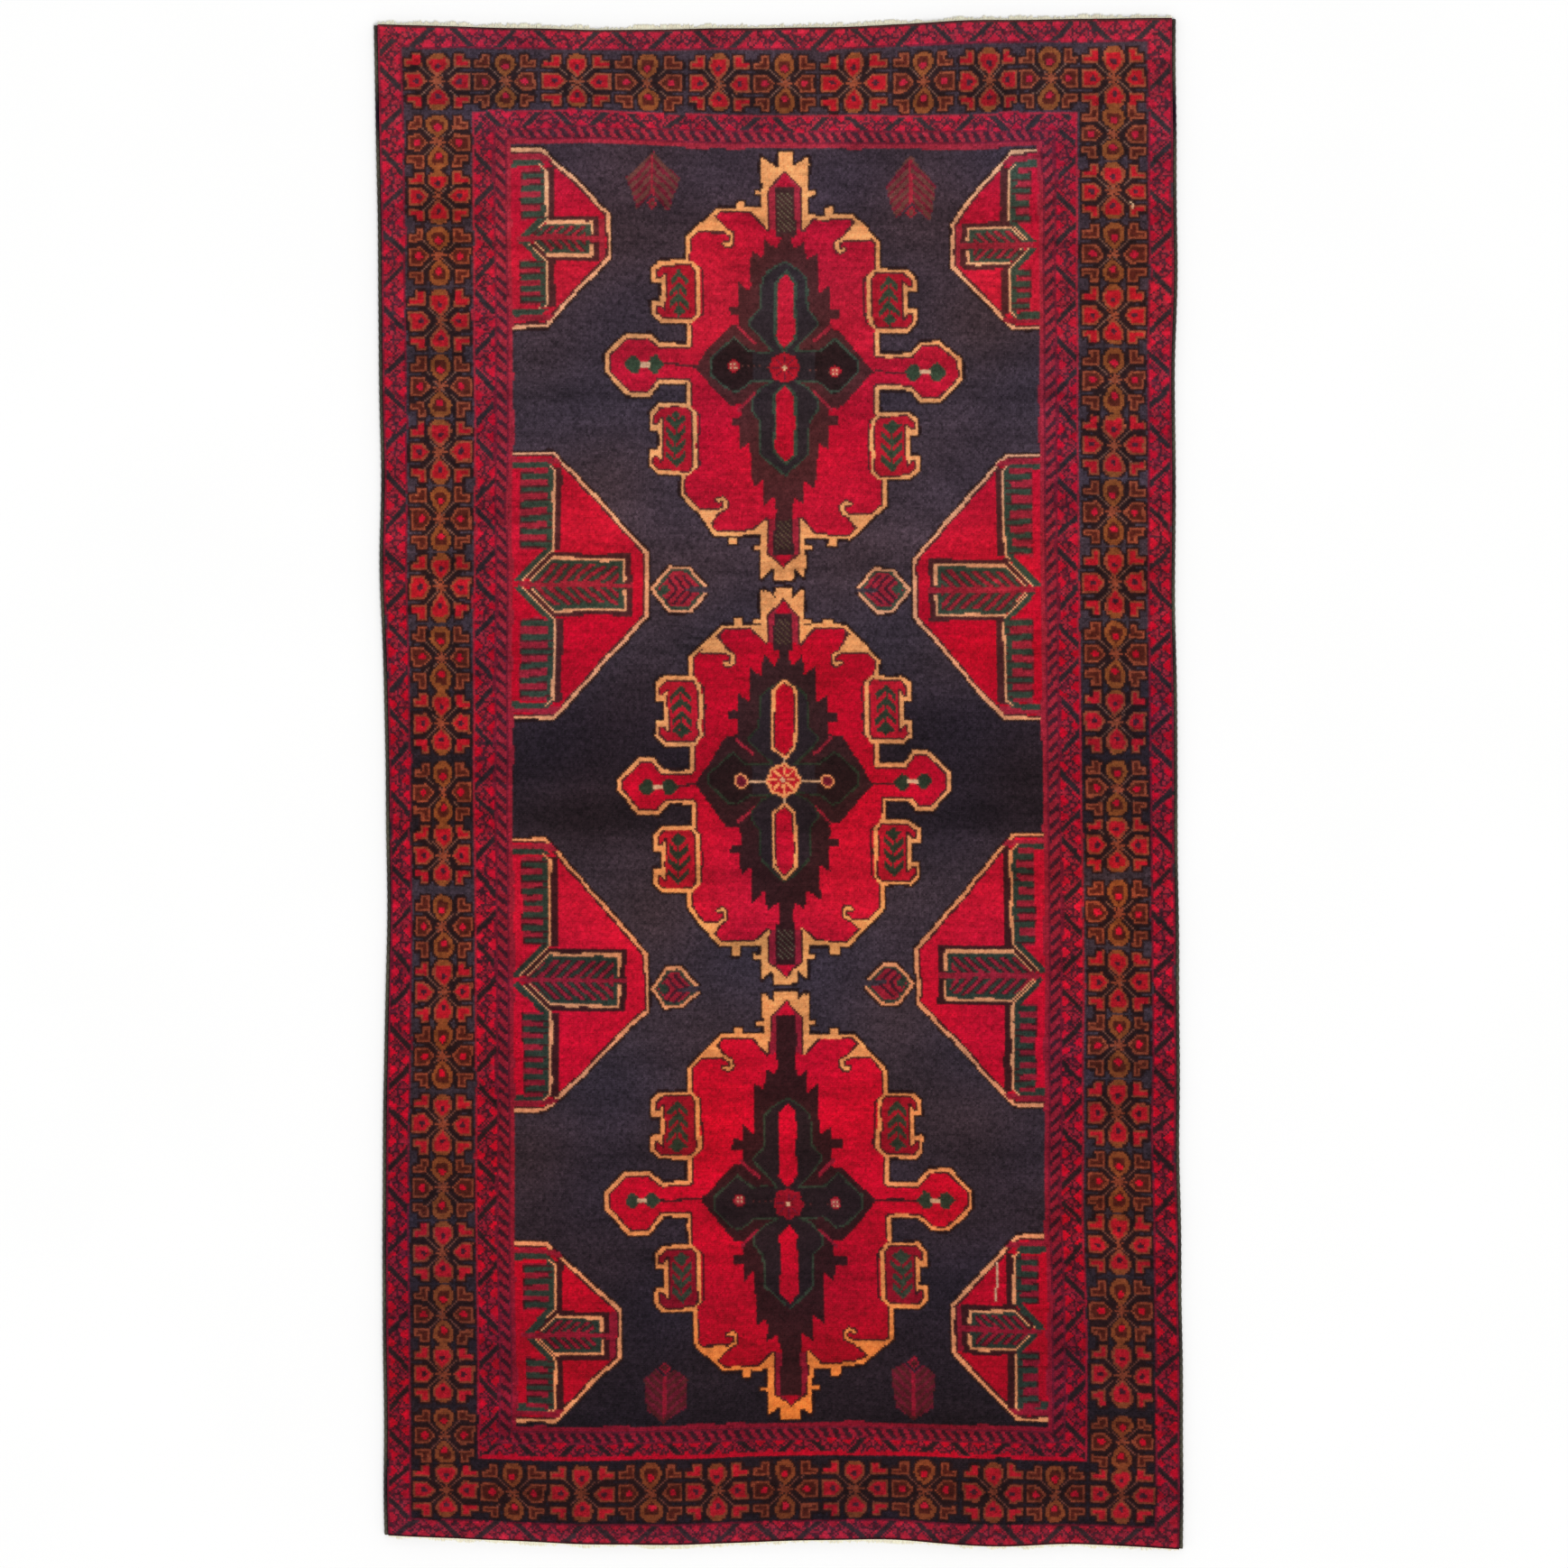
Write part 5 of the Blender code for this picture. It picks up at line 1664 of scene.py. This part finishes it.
@dataclass(frozen=True)
class FoundationCloth:
    """The cotton foundation: the knots' backs show the pattern on its underside."""

    step: int = 2
    upper_step: int = 6
    nub: float = 0.00018

    def grid(self, step: int) -> tuple[np.ndarray, np.ndarray]:
        """Grid lines every step knots, with the last line on the edge."""
        columns = np.unique(np.append(np.arange(0, KNOTS, step), KNOTS)) - SIDE
        rows = np.unique(np.append(np.arange(0, ROWS, step), ROWS)) - END
        return np.meshgrid(columns, rows)

    def surface(self, step: int, pile: Pile, under: bool) -> tuple[np.ndarray, np.ndarray, np.ndarray, np.ndarray]:
        """One face of the cloth as a grid of quads.

        Args:
            step: Knots between grid lines.
            pile: The pile, for its dyes.
            under: Whether it is the underside.

        Returns:
            Points, faces, colours and flat places.
        """
        u, v = self.grid(step)
        x, y, rise = lay(u, v)
        rng = np.random.default_rng(51)
        relief = rng.uniform(0, self.nub, u.shape)
        z = (relief if under else FOUNDATION_THICK - relief) + rise
        points = np.stack([x, y, z], -1).reshape(-1, 3)
        faces = cell_corners(np.arange(u.size).reshape(u.shape), under).reshape(-1, 4)
        middle_u = np.clip(((u[:-1, :-1] + u[1:, 1:]) / 2 + SIDE).astype(int), 0, KNOTS - 1)
        middle_v = np.clip(((v[:-1, :-1] + v[1:, 1:]) / 2 + END).astype(int), 0, ROWS - 1)
        cotton = linear((206, 192, 164))
        share = 0.16 if under else 0.6
        dye = pile.dye[middle_v, middle_u].reshape(-1, 3) * (1 - share) + cotton * share
        dye *= rng.uniform(0.85, 1.12, (len(dye), 1))
        plan = np.stack([u * KNOT_WIDE, v * KNOT_LONG], -1).reshape(-1, 2)
        if not under:
            plan = plan + np.array([1.14, 0.0])
        return points, faces, np.repeat(dye[:, None], 4, 1), plan[faces]

    def build(self, pile: Pile, material: bpy.types.Material) -> bpy.types.Object:
        """Makes the cloth: underside, upper side, and walls between them."""
        soup = Soup()
        for step, under in ((self.step, True), (self.upper_step, False)):
            soup.add(*self.surface(step, pile, under))
        u, v = self.grid(self.step)
        rims = ((u[0], v[0]), (u[:, -1], v[:, -1]), (u[-1, ::-1], v[-1, ::-1]), (u[::-1, 0], v[::-1, 0]))
        for rim_u, rim_v in rims:
            x, y, rise = lay(rim_u, rim_v)
            low = np.stack([x, y, rise], -1)
            high = np.stack([x, y, rise + FOUNDATION_THICK], -1)
            n = len(x)
            order = np.arange(n - 1)
            faces = np.stack([order, order + 1, order + 1 + n, order + n], 1)
            edge = np.broadcast_to(linear((150, 132, 108)), (n - 1, 4, 3))
            along = distance_along(np.stack([x, y], -1))
            plan = np.stack([np.concatenate([along, along]), np.repeat([1.09, 1.093], n)], -1)
            soup.add(np.concatenate([low, high]), faces, edge, plan[faces])
        cloth = mesh_object("foundation_cloth_weave", soup, smooth=False)
        return dress(cloth, material, "foundation_cloth")


# ---- ends and selvedges


@dataclass(frozen=True)
class End:
    """The weft-faced band and the trimmed warps at one end of the rug.

    Attributes:
        side: The top edge or the bottom one.
        band: The band's width, in metres.
        shortest: The least that the trimmed warps stand out, in metres.
        longest: The most.
    """

    side: Edge
    band: float
    shortest: float
    longest: float

    def line(self, u: np.ndarray) -> tuple[np.ndarray, np.ndarray, np.ndarray]:
        """The end of the foundation at each place across."""
        return lay(u, np.full(u.shape, END * self.side.sign))

    def weave(self, material: bpy.types.Material) -> bpy.types.Object:
        """The narrow weft-faced band: a crowned strip with a rib over each warp."""
        u = np.linspace(-SIDE, SIDE, KNOTS * 3 + 1)
        x, y, rise = self.line(u)
        turn = np.linspace(0, 1, 9)
        ring_y = np.interp(turn, [0, 0.12, 0.5, 0.62, 1], [0, 0, self.band, self.band, 0])
        ring_z = np.interp(turn, [0, 0.12, 0.3, 0.5, 0.62, 1], [0, 1, 1.06, 0.9, 0.0, 0.0]) * END_WEAVE_THICK
        ribs = 1 + 0.07 * np.cos(2 * np.pi * u)[:, None]
        out = y[:, None] + self.side.sign * (GAP + ring_y[None] * (1 + 0.05 * ripple(u, u * 0, 61, 14)[:, None]))
        z = ring_z[None] * ribs + rise[:, None]
        points = np.stack([np.broadcast_to(x[:, None], z.shape), out, z], -1)
        colour = linear((72, 52, 46)) * np.random.default_rng(62).uniform(0.75, 1.3, (len(u) - 1, 8, 1))
        strip = mesh_object(f"{self.side.label}_end_weave_band", grid_soup(points, colour, self.side is Edge.BOTTOM),
                            smooth=True)
        return dress(strip, material, f"{self.side.label}_end_weave")

    def fringe(self, material: bpy.types.Material) -> bpy.types.Object:
        """The trimmed warps: three little tapering tufts to each pair of warps, splayed and uneven."""
        rng = np.random.default_rng(71 if self.side is Edge.TOP else 72)
        count = KNOTS * 6
        u = np.linspace(-SIDE + 0.2, SIDE - 0.2, count) + rng.uniform(-0.25, 0.25, count)
        x, y, rise = self.line(u)
        foot_y = y + self.side.sign * (GAP + 0.75 * self.band)
        clump = np.repeat(rng.uniform(-0.4, 0.4, count // 6), 6)
        swell = 0.42 + 0.22 * ripple(u, u * 0, 73, 26) + clump + rng.uniform(-0.2, 0.2, count)
        length = self.shortest + (self.longest - self.shortest) * np.clip(swell, 0, 1)
        splay = rng.normal(0, 0.0007, count)
        radius = rng.uniform(0.0006, 0.0010, count)
        levels = np.linspace(0, 1, 4)
        angle = np.arange(5) * 2 * np.pi / 5
        taper = np.array([1.0, 0.95, 0.7, 0.12])
        centre_x = x[:, None] + splay[:, None] * levels**1.4
        centre_y = foot_y[:, None] + self.side.sign * length[:, None] * levels
        centre_z = rise[:, None] + 0.0022 - 0.0015 * levels + np.abs(rng.normal(0, 0.0003, count))[:, None] * levels
        ring = radius[:, None, None] * taper[None, :, None]
        px = centre_x[..., None] + ring * np.cos(angle)
        pz = np.maximum(centre_z[..., None] + ring * np.sin(angle), 0.0001)
        py = np.broadcast_to(centre_y[..., None], px.shape)
        points = np.stack([px, py, pz], -1).reshape(-1, 3)
        base = (np.arange(count) * 20)[:, None, None, None]
        level, spoke = np.meshgrid(np.arange(3), np.arange(5), indexing="ij")
        quad = np.stack([level * 5 + spoke, level * 5 + (spoke + 1) % 5, (level + 1) * 5 + (spoke + 1) % 5,
                         (level + 1) * 5 + spoke], -1)
        if self.side is Edge.TOP:
            quad = quad[..., ::-1]
        faces = (base + quad[None]).reshape(-1, 4)
        cream = np.minimum(linear((254, 246, 220)) * rng.uniform(0.84, 1.08, (count, 1)), 0.97)
        colours = np.repeat(np.repeat(cream[:, None], 15, 1).reshape(-1, 1, 3), 4, 1)
        plan = np.stack([np.repeat(u * KNOT_WIDE, 20) + np.tile(np.tile(np.arange(5) * 0.0001, 4), count),
                         np.repeat(length[:, None] * levels, 5, 1).ravel()], -1)
        soup = Soup()
        soup.add(points, faces, colours, plan[faces])
        tufts = mesh_object(f"{self.side.label}_warp_fringe_tufts", soup, smooth=True)
        return dress(tufts, material, f"{self.side.label}_warp_fringe")


def grid_soup(points: np.ndarray, colours: np.ndarray, flip: bool = False, closed: bool = False) -> Soup:
    """A grid of points, along by round, as quads.

    Args:
        points: (n, k, 3) places.
        colours: (n - 1, k - 1, 3) colours, or (n - 1, k, 3) where the rings close.
        flip: Whether the faces turn over.
        closed: Whether each ring's last point joins its first.

    Returns:
        The mesh's arrays, with a plan of distance along by distance round.
    """
    n, k = points.shape[:2]
    index = np.arange(n * k).reshape(n, k)
    if closed:
        index = np.concatenate([index, index[:, :1]], 1)
    ring = np.concatenate([points[0], points[:1, 0]]) if closed else points[0]
    plan = np.stack(np.meshgrid(distance_along(points[:, 0]), distance_along(ring), indexing="ij"), -1)
    soup = Soup()
    soup.add(points.reshape(-1, 3), cell_corners(index, flip).reshape(-1, 4),
             np.repeat(colours.reshape(-1, 1, 3), 4, 1), cell_corners(plan, flip).reshape(-1, 4, 2))
    return soup


@dataclass(frozen=True)
class Selvedge:
    """The goat-hair overcast edge on one long side, over its cord.

    Attributes:
        side: The left edge or the right one.
        lump: Length of one rope-like swelling, in metres.
        strand: Length between turns of the overcasting yarn.
        station: Length between rings of the mesh.
        round_points: Points in one ring.
    """

    side: Edge
    lump: float = 0.0118
    strand: float = 0.0031
    station: float = 0.00088
    round_points: int = 14

    def path(self, count: int) -> np.ndarray:
        """The cord's centre line, from the bottom end to the top."""
        v = np.linspace(-END, END, count)
        x, y, rise = lay(np.full(count, SIDE * self.side.sign), v)
        return np.stack([x + self.side.sign * (WRAP_RADIUS + GAP), y, rise + WRAP_RADIUS], -1)

    def rings(self, path: np.ndarray, radius: np.ndarray, points: int) -> np.ndarray:
        """Rings of a radius carried along the path; none goes below the floor."""
        angle = np.arange(points) * 2 * np.pi / points
        x = path[:, None, 0] + radius * np.cos(angle)
        z = path[:, None, 2] + radius * np.sin(angle)
        y = np.broadcast_to(path[:, None, 1], x.shape)
        return np.stack([x, y, np.maximum(z, 0.00005)], -1)

    def wrap(self, material: bpy.types.Material) -> bpy.types.Object:
        """The overcasting: a tube that swells every lump and is ridged by each slanting turn of yarn, its colour
        painted lighter on the ridges and swells and darker in the grooves and narrows as painted light and shade, over
        a random fleck of the yarn's own tone, with painted shade on its end caps.
        """
        count = int(2 * END * KNOT_LONG / self.station)
        path = self.path(count)
        along = np.linspace(0, 2 * END * KNOT_LONG, count)
        angle = np.arange(self.round_points) * 2 * np.pi / self.round_points
        stray = 1.2 * ripple(along * 1000, along * 0, 81, 170)
        swell = np.sin(2 * np.pi * along / self.lump + stray)
        turn = 2 * np.pi * along[:, None] / self.strand + angle[None] * self.side.sign + 0.8 * stray[:, None]
        ridge = np.cos(turn)
        rng = np.random.default_rng(82)
        radius = WRAP_RADIUS * (0.96 + 0.09 * swell[:, None] + 0.05 * ridge + rng.uniform(-0.02, 0.02, ridge.shape))
        outer = self.rings(path, radius, self.round_points)
        # Painted light and shade: lighter on each ridge and swell, darker in the grooves and narrows, plus a random
        # fleck of the yarn's own tone.
        groove_shade_and_fleck = 1 + 0.26 * ridge[:-1] + 0.16 * swell[:-1, None] + rng.normal(0, 0.12, (count - 1, self.round_points))
        hue = 0.5 + 0.5 * ripple(along * 1000, along * 0, 83, 90)[:-1, None, None]
        base = linear((78, 74, 62)) * (1 - hue) + linear((56, 50, 46)) * hue
        colours = np.clip(base * np.clip(groove_shade_and_fleck, 0.4, 1.7)[..., None], 0.002, 0.9)
        soup = grid_soup(outer, colours, flip=True, closed=True)
        for end in (0, -1):
            inner = self.rings(path[[end]], np.full((1, 1), WRAP_RADIUS * 0.55), self.round_points)
            pair = np.concatenate([outer[[end]], inner])
            shade = np.broadcast_to(base[end] * 0.7, (1, self.round_points, 3))
            cap = grid_soup(pair, shade, flip=end == -1, closed=True)
            cap.flat[0] = cap.flat[0][..., ::-1] * 0.5 + soup.flat[0].reshape(-1, 2).min(0)
            soup.add(cap.points[0], cap.faces[0], cap.colours[0], cap.flat[0])
        tube = mesh_object(f"{self.side.label}_selvedge_overcast", soup, smooth=True)
        return dress(tube, material, f"{self.side.label}_selvedge_wrap")

    def core(self, material: bpy.types.Material) -> bpy.types.Object:
        """The cord inside: a twisted cotton rope, seen only at its two ends."""
        count = 500
        path = self.path(count)
        angle = np.arange(8) * 2 * np.pi / 8
        along = np.linspace(0, 2 * END * KNOT_LONG, count)
        ridge = np.cos(3 * angle[None] + 2 * np.pi * along[:, None] / 0.009)
        radius = CORE_RADIUS * (1 + 0.08 * ridge)
        rings = self.rings(path, radius, 8)
        tips = self.rings(path[[0, -1]], np.full((2, 1), 0.00004), 8)
        rings = np.concatenate([tips[:1], rings, tips[1:]])
        rng = np.random.default_rng(84)
        colours = linear((196, 180, 150)) * rng.uniform(0.8, 1.05, (count + 1, 8, 1))
        rope = grid_soup(rings, colours, flip=True, closed=True)
        cord = mesh_object(f"{self.side.label}_selvedge_cord", rope, smooth=True)
        return dress(cord, material, f"{self.side.label}_selvedge_core")


# ---- studio


@dataclass(frozen=True)
class Studio:
    """A pale floor, soft light and a camera straight above the rug.

    Attributes:
        lens: The camera's focal length, in millimetres.
        sensor: Its sensor's width, in millimetres.
        seen: The width of floor that it sees, in metres.
        key: Strength of the one broad light.
        spread: The angle that the light fills, in degrees.
        turn: Its rotation, in radians.
        sky: Strength of the white surrounding.
        floor_half: Half the floor's width, in metres.
        floor_drop: How far the floor lies under the rug, in metres.
    """

    lens: float = 85.0
    sensor: float = 36.0
    seen: float = 2.158
    key: float = 1.55
    spread: float = 28
    turn: tuple[float, float, float] = (0.62, 0.0, 0.55)
    sky: float = 0.66
    floor_half: float = 12.0
    floor_drop: float = 0.0003

    def build(self) -> None:
        """Sets up the floor, the lights and the camera."""
        scene = bpy.context.scene
        scene.view_settings.view_transform = "Standard"
        world = bpy.data.worlds.new("soft_white_room")
        world.use_nodes = True
        backdrop = world.node_tree.nodes["Background"]
        backdrop.inputs["Color"].default_value = (1, 1, 1, 1)
        backdrop.inputs["Strength"].default_value = self.sky
        scene.world = world
        self.floor()
        self.light()
        camera = bpy.data.cameras.new("camera")
        camera.lens, camera.sensor_width = self.lens, self.sensor
        camera.clip_end = 100
        stand = bpy.data.objects.new("camera", camera)
        stand.location = (0.0077, -0.001, PILE_TOP + self.seen * self.lens / self.sensor)
        scene.collection.objects.link(stand)
        scene.camera = stand

    def light(self) -> None:
        """Hangs one broad, distant softbox."""
        lamp = bpy.data.lights.new("broad_key", "SUN")
        lamp.energy, lamp.angle = self.key, float(np.radians(self.spread))
        holder = bpy.data.objects.new("broad_key", lamp)
        holder.rotation_euler = self.turn
        bpy.context.scene.collection.objects.link(holder)

    def floor(self) -> None:
        """Lays a wide pale floor, very slightly mottled."""
        half = self.floor_half
        mesh = bpy.data.meshes.new("studio_floor")
        mesh.from_pydata([(u, v, -self.floor_drop) for u, v in box(-half, half, -half, half)], [], [(0, 1, 2, 3)])
        obj = bpy.data.objects.new("studio_floor", mesh)
        bpy.context.scene.collection.objects.link(obj)
        book = NodeBook("pale_floor")
        at = book.node("ShaderNodeTexCoord", output="Object")
        grain = book.noise(at, 3, 2)
        pale = book.node("ShaderNodeMix", {"Factor": grain, 6: (0.93, 0.93, 0.925, 1), 7: (0.95, 0.95, 0.95, 1)},
                         2, data_type="RGBA")
        obj.data.materials.append(book.finish(pale, 0.7 + grain * 0.1))


def main() -> None:
    """Builds the rug from the chart up, then the studio."""
    logging.basicConfig(level=logging.INFO, format="%(message)s")
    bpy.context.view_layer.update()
    chart = RugPattern().chart()
    Studio().build()
    wool, cotton = PILE_FINISH.material(), WEAVE_FINISH.material()
    cream, goat = FRINGE_FINISH.material(), GOAT_FINISH.material()
    pile, tufts = PilePieces().build(chart, wool)
    cloth = FoundationCloth().build(pile, cotton)
    trims: list[bpy.types.Object] = []
    for end in (End(Edge.TOP, 0.0022, 0.0018, 0.0080), End(Edge.BOTTOM, 0.0014, 0.0010, 0.0062)):
        trims += [end.weave(cotton), end.fringe(cream)]
    for edge in (Selvedge(Edge.LEFT), Selvedge(Edge.RIGHT)):
        trims += [edge.wrap(goat), edge.core(cotton)]
    log.info("%d pieces", 1 + len(tufts) + len(trims))


if __name__ == "__main__":
    main()
